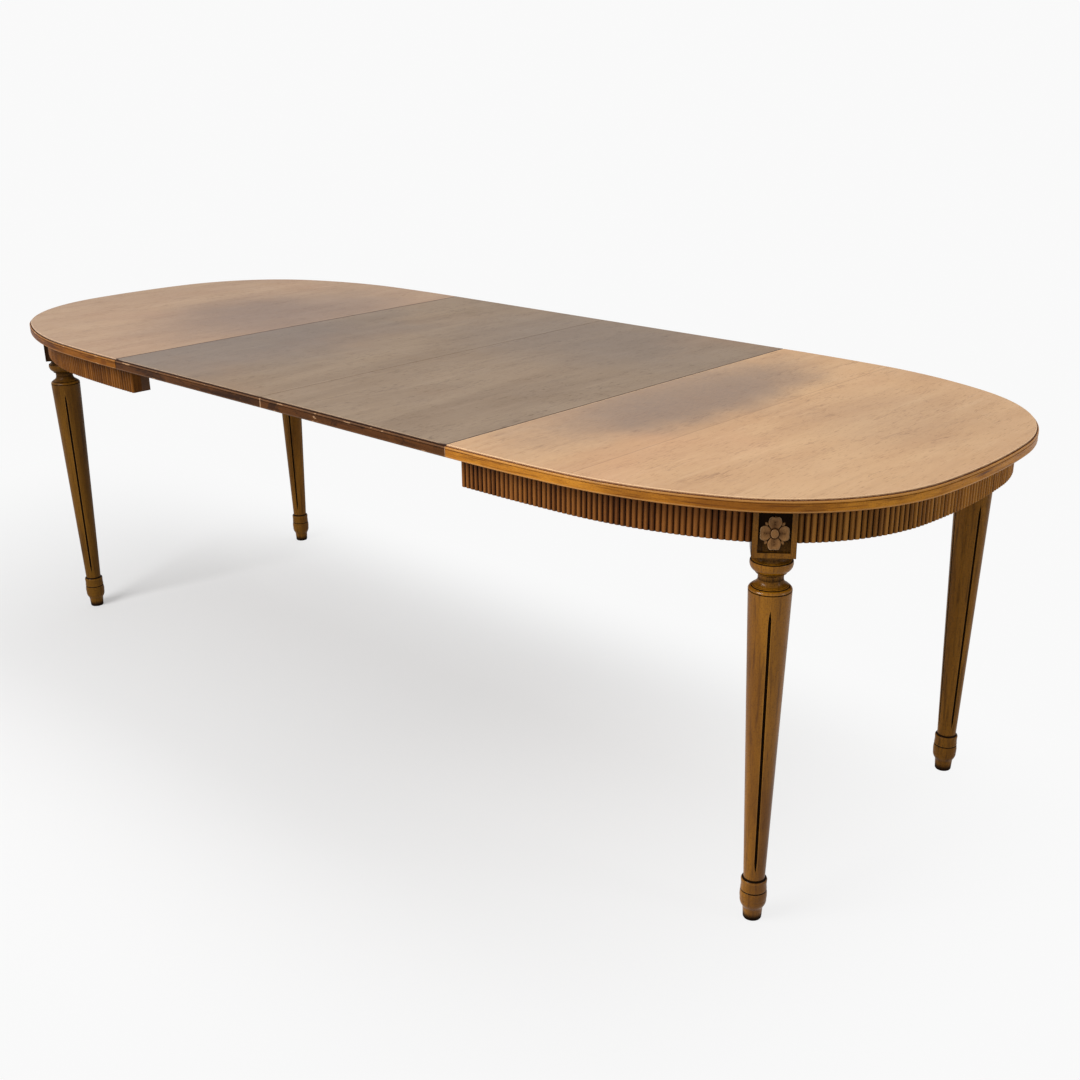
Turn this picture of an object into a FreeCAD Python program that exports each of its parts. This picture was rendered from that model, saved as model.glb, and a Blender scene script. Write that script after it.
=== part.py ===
import FreeCAD, Part
import Sketcher
import math
import os
from types import SimpleNamespace

os.makedirs("parts", exist_ok=True)

# Oval extension table with two loose leaves, millimetres and degrees.
# X runs along the table, the front is -Y, and the origin is on the floor at its middle.

doc = FreeCAD.newDocument("ExtensionTable")
sheet = doc.addObject("Spreadsheet::Sheet", "Sizes")

driving = {
    # the top
    "table_height": 750,
    "half_width": 497,        # centreline to the outermost line of the edge
    "top_thick": 22,
    "leaf_width": 500,
    "seam_gap": 0.4,
    "veneer_layer": 3.5,      # upper layer of the boards, which covers the lipping
    "arris_inset": 3.5,       # from the outermost line to the upper layer's edge
    "lipping_wide": 24,
    "edge_round_top": 2,
    "edge_round_under": 3,
    # the outline of an end, from the seam to the tip
    "side_radius": 3400,
    "side_arc_angle": 3.9,
    "shoulder_radius": 770,
    "shoulder_arc_angle": 20.9,
    "corner_radius": 360,
    "tip_arc_angle": 6.4,
    # aprons
    "apron_inset": 33,
    "apron_thick": 22,
    "apron_high": 57,
    "reed_pitch": 9.8,
    "reed_depth": 3,
    "end_block_thick": 20,
    "end_block_long": 60,
    "glue_block": 18,
    "glue_block_long": 60,
    "tenon_thick": 12,
    "tenon_high": 40,
    "tenon_long": 15,
    "mortise_gap": 0.2,
    # legs
    "leg_inset": 57.5,
    "leg_angle": 53,
    "block_side": 66,
    "block_high": 78,
    "block_round": 22,
    "frame_wide": 9,
    "frame_deep": 4,
    "under_block_radius": 30.5,
    "under_block_high": 6,
    "ring_high": 26,
    "ring_round": 17.3,
    "ring_foot_radius": 24.5,
    "fillet_radius": 22.5,
    "fillet_high": 4,
    "neck_radius": 19.9,
    "neck_slope": 2,
    "neck_high": 4,
    "flare_high": 12,
    "flare_round": 13,
    "flare_radius": 31.5,
    "shoulder_high": 6,
    "shoulder_round": 7,
    "shaft_top_radius": 33.8,
    "shaft_bottom_radius": 18,
    "shaft_bottom": 84,
    "collar_radius": 22,
    "collar_bottom": 63,
    "collar_round": 19,
    "bulge_top": 54,
    "bulge_bottom": 38,
    "bulge_round": 45,
    "quirk_high": 2.5,
    "quirk_deep": 0.8,
    "waist_radius": 19.2,
    "waist_top": 25.5,
    "waist_round": 20,
    "foot_top": 18,
    "foot_top_radius": 16.6,
    "foot_round": 14,
    "foot_radius": 15.5,
    "flute_wide": 3.2,
    "flute_deep": 2.5,
    "flute_top": 556,
    "flute_bottom": 95,
    "flute_point": 22,
    # rosettes
    "rosette_high": 53,
    "rosette_lift": 4,        # from the frame's lower rail to the lowest petal
    "rosette_wide": 43,
    "petal_wide": 19,
    "petal_thick": 3.6,
    "button_radius": 5.5,
    "button_high": 6,
    # runners
    "runner_high": 45,
    "runner_thick": 24,
    "runner_gap": 2,
    "runner_inset": 259,      # from the outermost line to a middle runner's centre
    "middle_drop": 1,         # the middle runners stay clear of the boards
    "middle_long": 1000,
    "slide_fixed": 540,
    "slide_reach": 400,       # how far a slide carries the leaf past the seam
    "tongue_root": 10,
    "tongue_tip": 15,
    "tongue_deep": 7,
    "groove_gap": 0.5,
    "tie_thick": 10,
    "tie_wide": 60,
    "tie_from_end": 40,
    "slide_over_tie": 2,
    "stop_long": 40,
    "pull_out": 60,
    # leaf battens
    "cleat_side": 20,
    "cleat_from_seam": 30,
    # screws
    "screw_radius": 2.2,
    "screw_hole": 2.6,
    "head_radius": 4.2,
    "head_high": 2.4,
    "head_hole": 5,
    "slide_screw_sunk": 20,
    "slide_screw_margin": 60,
    "screw_bite": 14,
}

for row, (name, value) in enumerate(driving.items(), start=1):
    sheet.set("A%d" % row, name)
    sheet.set("B%d" % row, str(value))
    sheet.setAlias("B%d" % row, name)
doc.recompute()


class Size:
    # A number that also knows the expression on the sheet's cells that gives it.

    def __init__(self, value, text):
        self.value = value
        self.text = text

    def __float__(self):
        return self.value

    def __add__(self, other):
        return Size(self.value + float(other), "(%s + %s)" % (self.text, text_of(other)))

    def __radd__(self, other):
        return Size(float(other) + self.value, "(%s + %s)" % (text_of(other), self.text))

    def __sub__(self, other):
        return Size(self.value - float(other), "(%s - %s)" % (self.text, text_of(other)))

    def __rsub__(self, other):
        return Size(float(other) - self.value, "(%s - %s)" % (text_of(other), self.text))

    def __mul__(self, other):
        return Size(self.value * float(other), "(%s * %s)" % (self.text, text_of(other)))

    def __rmul__(self, other):
        return Size(float(other) * self.value, "(%s * %s)" % (text_of(other), self.text))

    def __truediv__(self, other):
        return Size(self.value / float(other), "(%s / %s)" % (self.text, text_of(other)))

    def __neg__(self):
        return Size(-self.value, "(-%s)" % self.text)


def text_of(number):
    return number.text if isinstance(number, Size) else repr(number)


s = SimpleNamespace(**{name: Size(float(sheet.get(name)), "Sizes." + name) for name in driving})

under_top = s.table_height - s.top_thick
apron_bottom = under_top - s.apron_high
layer_bottom = s.table_height - s.veneer_layer
end_start = s.leaf_width + s.seam_gap / 2
touching = 0.01           # lengths this near to each other are the same
parts = []


def keep(obj, label):
    obj.Label = label
    parts.append(obj)
    return obj


def bind(obj, **properties):
    for name, size in properties.items():
        obj.setExpression(name, text_of(size))


def place(obj, x=0, y=0, z=0, turn=0):
    obj.Placement = FreeCAD.Placement(vector(x, y, z), FreeCAD.Rotation(vector(0, 0, 1), float(turn)))
    for axis, size in (("x", x), ("y", y), ("z", z)):
        if isinstance(size, Size):
            obj.setExpression(".Placement.Base." + axis, size.text)


def vector(x, y, z=0):
    return FreeCAD.Vector(float(x), float(y), float(z))


# ---- the outline of an end: arcs that meet tangentially, seen from the seam's middle
# An angle is the outward direction of the edge: -90 at the front seam, 0 at the tip, 90 at the back seam.


def direction(angle):
    return vector(math.cos(math.radians(angle)), math.sin(math.radians(angle)))


side_stop = 90 - float(s.side_arc_angle)
shoulder_stop = side_stop - float(s.shoulder_arc_angle)
corner_stop = float(s.tip_arc_angle)
side_centre = vector(0, s.half_width - s.side_radius)
shoulder_centre = side_centre + direction(side_stop) * float(s.side_radius - s.shoulder_radius)
corner_centre = shoulder_centre + direction(shoulder_stop) * float(s.shoulder_radius - s.corner_radius)
tip_shift = corner_centre.y / math.sin(math.radians(corner_stop))
tip_centre = corner_centre - direction(corner_stop) * tip_shift
end_arcs = (
    (side_stop, side_centre, float(s.side_radius)),
    (shoulder_stop, shoulder_centre, float(s.shoulder_radius)),
    (corner_stop, corner_centre, float(s.corner_radius)),
    (0, tip_centre, float(s.corner_radius) + tip_shift),
)
borders = sorted([sign * stop for stop, centre, radius in end_arcs[:3] for sign in (-1, 1)])


def edge_point(angle, inset, height=0):
    for stop, centre, radius in end_arcs:
        if abs(angle) >= stop:
            break
    sign = -1 if angle < 0 else 1
    base = vector(centre.x, sign * centre.y, height)
    return base + direction(angle) * (radius - float(inset))


def edge_curve(inset, start, stop, height):
    inside = [angle for angle in borders if min(start, stop) < angle < max(start, stop)]
    if start > stop:
        inside.reverse()
    angles = [start] + inside + [stop]
    edges = []
    for one, two in zip(angles, angles[1:]):
        points = [edge_point(angle, inset, height) for angle in (one, (one + two) / 2, two)]
        edges.append(Part.Arc(*points).toShape())
    return edges


def run_to(angle, inset):
    # length of the edge, moved in by the inset, from the front seam to the angle
    angles = [-90] + [border for border in borders if border < angle] + [angle]
    run = 0
    for one, two in zip(angles, angles[1:]):
        middle = (one + two) / 2
        for stop, centre, radius in end_arcs:
            if abs(middle) >= stop:
                break
        run += math.radians(two - one) * (radius - float(inset))
    return run


def angle_where(test, low, high):
    # angle between low and high at which the rising function test passes zero
    for step in range(50):
        middle = (low + high) / 2
        if test(middle) < 0:
            low = middle
        else:
            high = middle
    return (low + high) / 2


def line(one, two):
    return Part.LineSegment(one, two).toShape()


def band(outer_inset, inner_inset, start, stop, bottom, top):
    # piece of the end's outline between two insets, with its ends square to the edge
    outer = edge_curve(outer_inset, start, stop, bottom)
    inner = edge_curve(inner_inset, stop, start, bottom)
    ends = [
        line(edge_point(stop, outer_inset, bottom), edge_point(stop, inner_inset, bottom)),
        line(edge_point(start, inner_inset, bottom), edge_point(start, outer_inset, bottom)),
    ]
    face = Part.Face(Part.Wire(Part.__sortEdges__(outer + inner + ends)))
    return face.extrude(vector(0, 0, top - bottom))


def end_board(inset, bottom, top):
    edges = edge_curve(inset, -90, 90, bottom)
    edges.append(line(edge_point(90, inset, bottom), edge_point(-90, inset, bottom)))
    face = Part.Face(Part.Wire(Part.__sortEdges__(edges)))
    return face.extrude(vector(0, 0, top - bottom))


# ---- sketches and bodies


def origin_plane(body, role):
    for feature in body.Origin.OriginFeatures:
        if feature.Role == role:
            return feature


def new_body(label):
    return keep(doc.addObject("PartDesign::Body", label), label)


def new_sketch(body, role, name, lift=0):
    sketch = body.newObject("Sketcher::SketchObject", name)
    sketch.AttachmentSupport = [(origin_plane(body, role), "")]
    sketch.MapMode = "FlatFace"
    if isinstance(lift, Size):
        sketch.setExpression(".AttachmentOffset.Base.z", lift.text)
    return sketch


def fix_coordinate(sketch, kind, geometry, end, size):
    # ties one coordinate of a point to the sheet, measured from the sketch's origin
    axis = -2 if kind == "DistanceX" else -1
    if float(size) == 0:
        sketch.addConstraint(Sketcher.Constraint("PointOnObject", geometry, end, axis))
        return
    if float(size) > 0:
        index = sketch.addConstraint(Sketcher.Constraint(kind, -1, 1, geometry, end, float(size)))
    else:
        size = -size if isinstance(size, Size) else -float(size)
        index = sketch.addConstraint(Sketcher.Constraint(kind, geometry, end, -1, 1, float(size)))
    sketch.setExpression("Constraints[%d]" % index, text_of(size))


def arc_between(one, two, radius):
    # the shorter arc; a positive radius keeps its centre on the left of the way from one to two
    chord = two - one
    rise = math.sqrt(radius ** 2 - (chord.Length / 2) ** 2)
    left = vector(-chord.y, chord.x) / chord.Length
    centre = (one + two) / 2 + left * math.copysign(rise, radius)
    first, last = (one, two) if radius > 0 else (two, one)
    angles = [math.atan2(point.y - centre.y, point.x - centre.x) for point in (first, last)]
    return Part.ArcOfCircle(Part.Circle(centre, vector(0, 0, 1), abs(radius)), *angles)


def draw(sketch, corners):
    # closed outline; a corner's third value is the radius of the arc that leaves it
    ends = []
    for here, there in zip(corners, corners[1:] + corners[:1]):
        one, two = vector(*here[:2]), vector(*there[:2])
        if len(here) == 2:
            index = sketch.addGeometry(Part.LineSegment(one, two))
            ends.append((index, 1, 2))
        else:
            index = sketch.addGeometry(arc_between(one, two, float(here[2])))
            ends.append((index, 1, 2) if float(here[2]) > 0 else (index, 2, 1))
    for (index, start, stop), (after, after_start, after_stop) in zip(ends, ends[1:] + ends[:1]):
        sketch.addConstraint(Sketcher.Constraint("Coincident", index, stop, after, after_start))
    for (index, start, stop), corner in zip(ends, corners):
        fix_coordinate(sketch, "DistanceX", index, start, corner[0])
        fix_coordinate(sketch, "DistanceY", index, start, corner[1])
        if len(corner) == 3:
            radius = corner[2] if float(corner[2]) > 0 else -corner[2]
            number = sketch.addConstraint(Sketcher.Constraint("Radius", index, float(radius)))
            sketch.setExpression("Constraints[%d]" % number, text_of(radius))


def pad(body, sketch, length):
    feature = body.newObject("PartDesign::Pad", sketch.Name + "Pad")
    feature.Profile = sketch
    bind(feature, Length=length)
    sketch.Visibility = False
    return feature


def pocket(body, sketch, depth):
    # cuts towards the sketch plane's own normal
    feature = body.newObject("PartDesign::Pocket", sketch.Name + "Pocket")
    feature.Profile = sketch
    feature.Reversed = True
    bind(feature, Length=depth)
    return feature


def drill(body, name, centres, radius, bottom, depth):
    sketch = new_sketch(body, "XY_Plane", name, bottom)
    for x, y in centres:
        index = sketch.addGeometry(Part.Circle(vector(x, y), vector(0, 0, 1), float(radius)))
        number = sketch.addConstraint(Sketcher.Constraint("Radius", index, float(radius)))
        sketch.setExpression("Constraints[%d]" % number, text_of(radius))
        fix_coordinate(sketch, "DistanceX", index, 3, x)
        fix_coordinate(sketch, "DistanceY", index, 3, y)
    return pocket(body, sketch, depth)


def cut_box(body, name, low, size):
    # box taken out of a body, from its lowest corner
    feature = body.newObject("PartDesign::SubtractiveBox", name)
    feature.AttachmentSupport = [(origin_plane(body, "XY_Plane"), "")]
    feature.MapMode = "FlatFace"
    for axis, value in zip("xyz", low):
        feature.setExpression(".AttachmentOffset.Base." + axis, text_of(value))
    bind(feature, Length=size[0], Width=size[1], Height=size[2])
    return feature


def solid_feature(label, shape):
    feature = doc.addObject("Part::Feature", label)
    feature.Shape = shape
    return keep(feature, label)


def plain_box(label, length, width, height, low):
    box = doc.addObject("Part::Box", label)
    bind(box, Length=length, Width=width, Height=height)
    place(box, *low)
    return box


def group(label, members):
    compound = doc.addObject("Part::Compound", label)
    compound.Links = members
    return keep(compound, label)


# ---- screws: a raised head below its seat, a shank and a point

head_face_share = 0.55    # the head's flat against its full radius
screw_tip_share = 0.12    # the blunt tip against the shank's radius


def screw(x, y, seat, length):
    head_high = float(s.head_high)
    radius = float(s.screw_radius)
    point_long = 2 * radius
    up = vector(0, 0, 1)
    head_face = float(s.head_radius) * head_face_share
    head = Part.makeCone(head_face, float(s.head_radius), head_high, vector(x, y, seat - head_high), up)
    shank = Part.makeCylinder(radius, length - point_long, vector(x, y, seat), up)
    tip = radius * screw_tip_share
    point = Part.makeCone(radius, tip, point_long, vector(x, y, seat + length - point_long), up)
    return head.fuse([shank, point]).removeSplitter()


# ---- legs: turned below a square block, built about their own axis with the face towards +X

tenon_x = s.leg_inset - s.apron_inset - (s.apron_thick + s.reed_depth) / 2
tenon_bottom = apron_bottom + (s.apron_high - s.tenon_high) / 2
block_bottom = under_top - s.block_high
recess_floor = s.block_side / 2 - s.frame_deep


def turned_outline():
    ring_top = block_bottom - s.under_block_high
    ring_bottom = ring_top - s.ring_high
    fillet_bottom = ring_bottom - s.fillet_high
    neck_top = fillet_bottom - s.neck_slope
    neck_bottom = neck_top - s.neck_high
    flare_bottom = neck_bottom - s.flare_high
    shaft_top = flare_bottom - s.shoulder_high
    return [
        (0, block_bottom),
        (0, 0),
        (s.foot_radius, 0),
        (s.foot_top_radius, s.foot_top, -s.foot_round),
        (s.waist_radius, s.waist_top, s.waist_round),
        (s.collar_radius, s.bulge_bottom, s.bulge_round),
        (s.collar_radius, s.bulge_top),
        (s.collar_radius - s.quirk_deep, s.bulge_top),
        (s.collar_radius - s.quirk_deep, s.bulge_top + s.quirk_high),
        (s.collar_radius, s.bulge_top + s.quirk_high),
        (s.collar_radius, s.collar_bottom, s.collar_round),
        (s.shaft_bottom_radius, s.shaft_bottom),
        (s.shaft_top_radius, shaft_top, s.shoulder_round),
        (s.flare_radius, flare_bottom, -s.flare_round),
        (s.neck_radius, neck_bottom),
        (s.neck_radius, neck_top),
        (s.fillet_radius, fillet_bottom),
        (s.fillet_radius, ring_bottom),
        (s.ring_foot_radius, ring_bottom, s.ring_round),
        (s.under_block_radius, ring_top),
        (s.under_block_radius, block_bottom),
    ]


def leg(label, end_turn, end_x, angle):
    body = new_body(label)
    half = s.block_side / 2
    square = new_sketch(body, "XY_Plane", "BlockSquare", block_bottom)
    draw(square, [(-half, -half), (half, -half), (half, half), (-half, half)])
    block = pad(body, square, s.block_high)
    doc.recompute()
    for number, edge in enumerate(block.Shape.Edges, start=1):
        box = edge.BoundBox
        if box.XMax < 0 and box.ZMax < float(block_bottom) + 1:
            back_edge = "Edge%d" % number
    rounding = body.newObject("PartDesign::Fillet", "BlockBackRound")
    rounding.Base = (block, [back_edge])
    bind(rounding, Radius=s.block_round)
    profile = new_sketch(body, "XZ_Plane", "TurnedOutline")
    draw(profile, turned_outline())
    turning = body.newObject("PartDesign::Revolution", "Turning")
    turning.Profile = profile
    turning.ReferenceAxis = (profile, ["V_Axis"])
    turning.Angle = 360
    tenon_size = (s.tenon_thick, s.tenon_long, s.tenon_high)
    mortise_size = [size + s.mortise_gap for size in tenon_size]
    mortise_x = tenon_x - mortise_size[0] / 2
    mortise_z = tenon_bottom - s.mortise_gap / 2
    cut_box(body, "LeftMortise", (mortise_x, -half, mortise_z), mortise_size)
    cut_box(body, "RightMortise", (mortise_x, half - mortise_size[1], mortise_z), mortise_size)
    recess_low = (recess_floor, s.frame_wide - half, block_bottom + s.frame_wide)
    recess_size = (s.frame_deep, s.block_side - 2 * s.frame_wide, s.block_high - s.frame_wide)
    cut_box(body, "FaceRecess", recess_low, recess_size)
    flute = new_sketch(body, "YZ_Plane", "FluteOutline")
    taper = flute_taper()
    floor = s.shaft_bottom_radius - s.flute_deep - s.shaft_bottom * math.tan(taper)
    lean = FreeCAD.Rotation(vector(1, 0, 0), math.degrees(taper))
    flute.AttachmentOffset = FreeCAD.Placement(vector(0, 0, floor), lean)
    side = s.flute_wide / 2
    draw(flute, [
        (0, s.flute_bottom),
        (side, s.flute_bottom + s.flute_point),
        (side, s.flute_top - s.flute_point),
        (0, s.flute_top),
        (-side, s.flute_top - s.flute_point),
        (-side, s.flute_bottom + s.flute_point),
    ])
    doc.recompute()
    groove = pocket(body, flute, s.flute_deep * 3)
    round_the_leg = body.newObject("PartDesign::PolarPattern", "FourFlutes")
    round_the_leg.Originals = [groove]
    round_the_leg.Axis = (origin_plane(body, "Z_Axis"), [""])
    round_the_leg.Angle = 360
    round_the_leg.Occurrences = 4
    body.Tip = round_the_leg
    stand(body, end_turn, end_x, angle)


def flute_taper():
    shaft_top = block_bottom - s.under_block_high - s.ring_high - s.fillet_high - s.neck_slope
    shaft_top = shaft_top - s.neck_high - s.flare_high - s.shoulder_high
    rise = float(shaft_top - s.shaft_bottom)
    return math.atan(float(s.shaft_top_radius - s.shaft_bottom_radius) / rise)


def stand(obj, end_turn, end_x, angle, out=0, height=0):
    # stands a piece of the leg's own frame on the leg's axis, or out from it and above the floor
    end_place = FreeCAD.Placement(vector(end_x, 0), FreeCAD.Rotation(vector(0, 0, 1), end_turn))
    leg_place = FreeCAD.Placement(edge_point(angle, s.leg_inset), FreeCAD.Rotation(vector(0, 0, 1), angle))
    obj.Placement = end_place.multiply(leg_place).multiply(
        FreeCAD.Placement(vector(out, 0, height), FreeCAD.Rotation()))


# ---- rosette: four notched petals, small sepals between them and a domed button, carved as one


def petal(reach, wide):
    # outline in the YZ plane, pointing up, with two lobes and a notch between them
    root, belly, shoulder, notch = [reach * share for share in (0.12, 0.38, 0.72, 0.9)]
    widest = wide / 2
    belly_wide = widest * 0.62
    lobe_wide = widest * 0.42
    lobe_round = 0.08 * reach
    edges = []
    for side in (1, -1):
        start = vector(0, 0, root)
        waist = vector(0, side * belly_wide, belly)
        corner = vector(0, side * widest, shoulder)
        lobe = vector(0, side * lobe_wide, reach)
        crown = (corner + lobe) / 2 + vector(0, side * lobe_round / 2, lobe_round)
        edges.append(Part.Arc(start, waist, corner).toShape())
        edges.append(Part.Arc(corner, crown, lobe).toShape())
        edges.append(line(lobe, vector(0, 0, notch)))
    return Part.Face(Part.Wire(Part.__sortEdges__(edges))).extrude(vector(s.petal_thick, 0))


def rosette(label, end_turn, end_x, angle):
    across = vector(1, 0, 0)
    sepal_reach = float(s.rosette_wide) * 0.42
    sepal_wide = float(s.petal_wide) * 0.3
    base_radius = float(s.button_radius) * 1.3
    base_thick = float(s.petal_thick) * 0.8
    button_dome = float(s.button_high) * 0.45
    pieces = []
    for number in range(4):
        reach = float(s.rosette_high if number % 2 == 0 else s.rosette_wide) / 2
        leaf = petal(reach, float(s.petal_wide))
        leaf.rotate(vector(0, 0), across, 90 * number)
        sepal = petal(sepal_reach, sepal_wide)
        sepal.rotate(vector(0, 0), across, 90 * number + 45)
        pieces += [leaf, sepal]
    base = Part.makeCylinder(base_radius, base_thick, vector(0, 0), across)
    button = Part.makeCylinder(float(s.button_radius), float(s.button_high), vector(0, 0), across)
    rim = [edge for edge in button.Edges if edge.BoundBox.XMin > float(s.button_high) - touching]
    button = button.makeFillet(button_dome, rim)
    shape = base.fuse(pieces + [button]).removeSplitter()
    middle = block_bottom + s.frame_wide + s.rosette_lift + s.rosette_high / 2
    stand(solid_feature(label, shape), end_turn, end_x, angle, recess_floor, middle)


# ---- aprons: bent strips with half-round reeds, tenoned into the legs

search_span = 40          # degrees beside a leg within which its apron starts


def leg_side(angle, side):
    # point and direction of the block's flat side that an apron meets
    outward = direction(angle)
    along = vector(-outward.y, outward.x)
    return edge_point(angle, s.leg_inset) + along * (side * float(s.block_side) / 2), along, outward


def stop_at_block(inset, angle, side):
    point, along, outward = leg_side(angle, side)
    if side > 0:
        low, high = angle, min(angle + search_span, 90)
    else:
        low, high = max(angle - search_span, -90), angle
    return angle_where(lambda here: (edge_point(here, inset) - point).dot(along), low, high)


def tenon(angle, side):
    point, along, outward = leg_side(angle, side)
    root = float(s.apron_thick) / 4
    long = float(s.tenon_long) + root
    block = Part.makeBox(float(s.tenon_thick), long, float(s.tenon_high))
    block.translate(vector(tenon_x - s.tenon_thick / 2, 0, tenon_bottom))
    shift = float(s.block_side) / 2 - float(s.tenon_long) if side > 0 else -float(s.block_side) / 2 - root
    block.translate(vector(0, shift))
    turn = FreeCAD.Rotation(vector(0, 0, 1), angle)
    block.Placement = FreeCAD.Placement(edge_point(angle, s.leg_inset), turn).multiply(block.Placement)
    return block


def apron(start_leg, stop_leg):
    # between two legs, or from a leg to the seam where the leg is None
    valley = s.apron_inset + s.reed_depth
    inner = s.apron_inset + s.apron_thick
    starts = [-90 if start_leg is None else stop_at_block(inset, start_leg, 1) for inset in (valley, inner)]
    stops = [90 if stop_leg is None else stop_at_block(inset, stop_leg, -1) for inset in (valley, inner)]
    first = run_to(starts[0], valley)
    whole = run_to(stops[0], valley) - first
    count = round(whole / float(s.reed_pitch))

    def reed_angle(share):
        return angle_where(lambda here: run_to(here, valley) - first - whole * share / count, -90, 90)

    edges = []
    for number in range(count):
        one = edge_point(reed_angle(number), valley)
        two = edge_point(reed_angle(number + 1), valley)
        crest = edge_point(reed_angle(number + 0.5), s.apron_inset)
        edges.append(Part.Arc(one, crest, two).toShape())
    edges.append(line(edges[-1].Vertexes[-1].Point, edge_point(stops[1], inner)))
    edges += edge_curve(inner, stops[1], starts[1], 0)
    edges.append(line(edge_point(starts[1], inner), edges[0].Vertexes[0].Point))
    face = Part.Face(Part.Wire(Part.__sortEdges__(edges)))
    shape = face.extrude(vector(0, 0, s.apron_high))
    shape.translate(vector(0, 0, apron_bottom))
    tenons = []
    if start_leg is not None:
        tenons.append(tenon(start_leg, 1))
    if stop_leg is not None:
        tenons.append(tenon(stop_leg, -1))
    return shape.fuse(tenons).removeSplitter()


# ---- runners

middle_y = s.half_width - s.runner_inset
tongue_z = under_top - s.runner_high / 2
tongue_slope = (s.tongue_tip - s.tongue_root) / 2 / s.tongue_deep
slide_long = s.slide_fixed + s.slide_reach
runner_step = s.runner_thick + s.runner_gap
tie_top = under_top - s.runner_high - s.slide_over_tie
slide_screw_count = 4
slide_screw_step = (s.slide_fixed - 2 * s.slide_screw_margin) / (slide_screw_count - 1)
slide_screw_seat = under_top - s.runner_high + s.slide_screw_sunk
tie_x = s.middle_long / 2 - s.tie_from_end - s.tie_wide / 2


def slide(label, seam_x, y, outward, tongue_side):
    # a bar along X from under the leaf to under the end; its tongue points to the middle runner
    body = new_body(label)
    half = s.runner_thick / 2
    root = s.tongue_root / 2
    tip = s.tongue_tip / 2
    bar = new_sketch(body, "YZ_Plane", "SlideSection")
    draw(bar, [
        (-half, under_top - s.runner_high), (half, under_top - s.runner_high),
        (half, tongue_z - root), (half + s.tongue_deep, tongue_z - tip),
        (half + s.tongue_deep, tongue_z + tip), (half, tongue_z + root),
        (half, under_top), (-half, under_top),
    ])
    pad(body, bar, slide_long)
    turn = 0 if tongue_side > 0 else 180
    along = 1 if turn == 0 else -1
    # the fixed stretch is at the bar's own start when its turn and its end of the table differ
    fixed_first = outward != along
    first = s.slide_screw_margin if fixed_first else s.slide_reach + s.slide_screw_margin
    centres = [(first + slide_screw_step * number, 0) for number in range(slide_screw_count)]
    bottom = under_top - s.runner_high
    drill(body, "ScrewHoles", centres, s.screw_hole, bottom, s.runner_high)
    drill(body, "HeadHoles", centres, s.head_hole, bottom, s.slide_screw_sunk)
    inner_x = seam_x - outward * s.slide_reach
    outer_x = seam_x + outward * s.slide_fixed
    place(body, inner_x if outward == along else outer_x, y, 0, turn)


def middle_runner(label, y):
    body = new_body(label)
    half = s.runner_thick / 2
    mouth = s.tongue_root / 2 + tongue_slope * s.runner_gap + s.groove_gap
    floor = s.tongue_tip / 2 + tongue_slope * s.groove_gap + s.groove_gap
    deep = half - (s.tongue_deep - s.runner_gap + s.groove_gap)
    bar = new_sketch(body, "YZ_Plane", "MiddleSection")
    draw(bar, [
        (-half, tie_top), (half, tie_top),
        (half, tongue_z - mouth), (deep, tongue_z - floor),
        (deep, tongue_z + floor), (half, tongue_z + mouth),
        (half, under_top - s.middle_drop), (-half, under_top - s.middle_drop),
        (-half, tongue_z + mouth), (-deep, tongue_z + floor),
        (-deep, tongue_z - floor), (-half, tongue_z - mouth),
    ])
    pad(body, bar, s.middle_long)
    place(body, -s.middle_long / 2, y)


def tie(label, side):
    body = new_body(label)
    half_long = middle_y + runner_step + s.runner_thick / 2
    half_wide = s.tie_wide / 2
    board = new_sketch(body, "XY_Plane", "TieOutline", tie_top - s.tie_thick)
    draw(board, [
        (-half_wide, -half_long), (half_wide, -half_long),
        (half_wide, half_long), (-half_wide, half_long),
    ])
    pad(body, board, s.tie_thick)
    centres = [(s.tie_wide / 4 * sx, middle_y * sy) for sx in (-1, 1) for sy in (-1, 1)]
    drill(body, "TieHoles", centres, s.screw_hole, tie_top - s.tie_thick, s.tie_thick)
    place(body, side * tie_x)


for name, side in (("front", -1), ("back", 1)):
    middle_runner(name + "_middle_runner", side * middle_y)
for name, side in (("left", -1), ("right", 1)):
    tie(name + "_tie", side)

tie_seat = float(tie_top - s.tie_thick)
solid_feature("tie_screws", Part.makeCompound([
    screw(float(tie_x) * end + float(s.tie_wide) / 4 * sx, float(middle_y) * sy, tie_seat,
          float(s.tie_thick + s.screw_bite))
    for end in (-1, 1) for sx in (-1, 1) for sy in (-1, 1)]))

# ---- the two ends

glue_block_angles = (-84, -72, -22, 0, 22, 72, 84)

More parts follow.
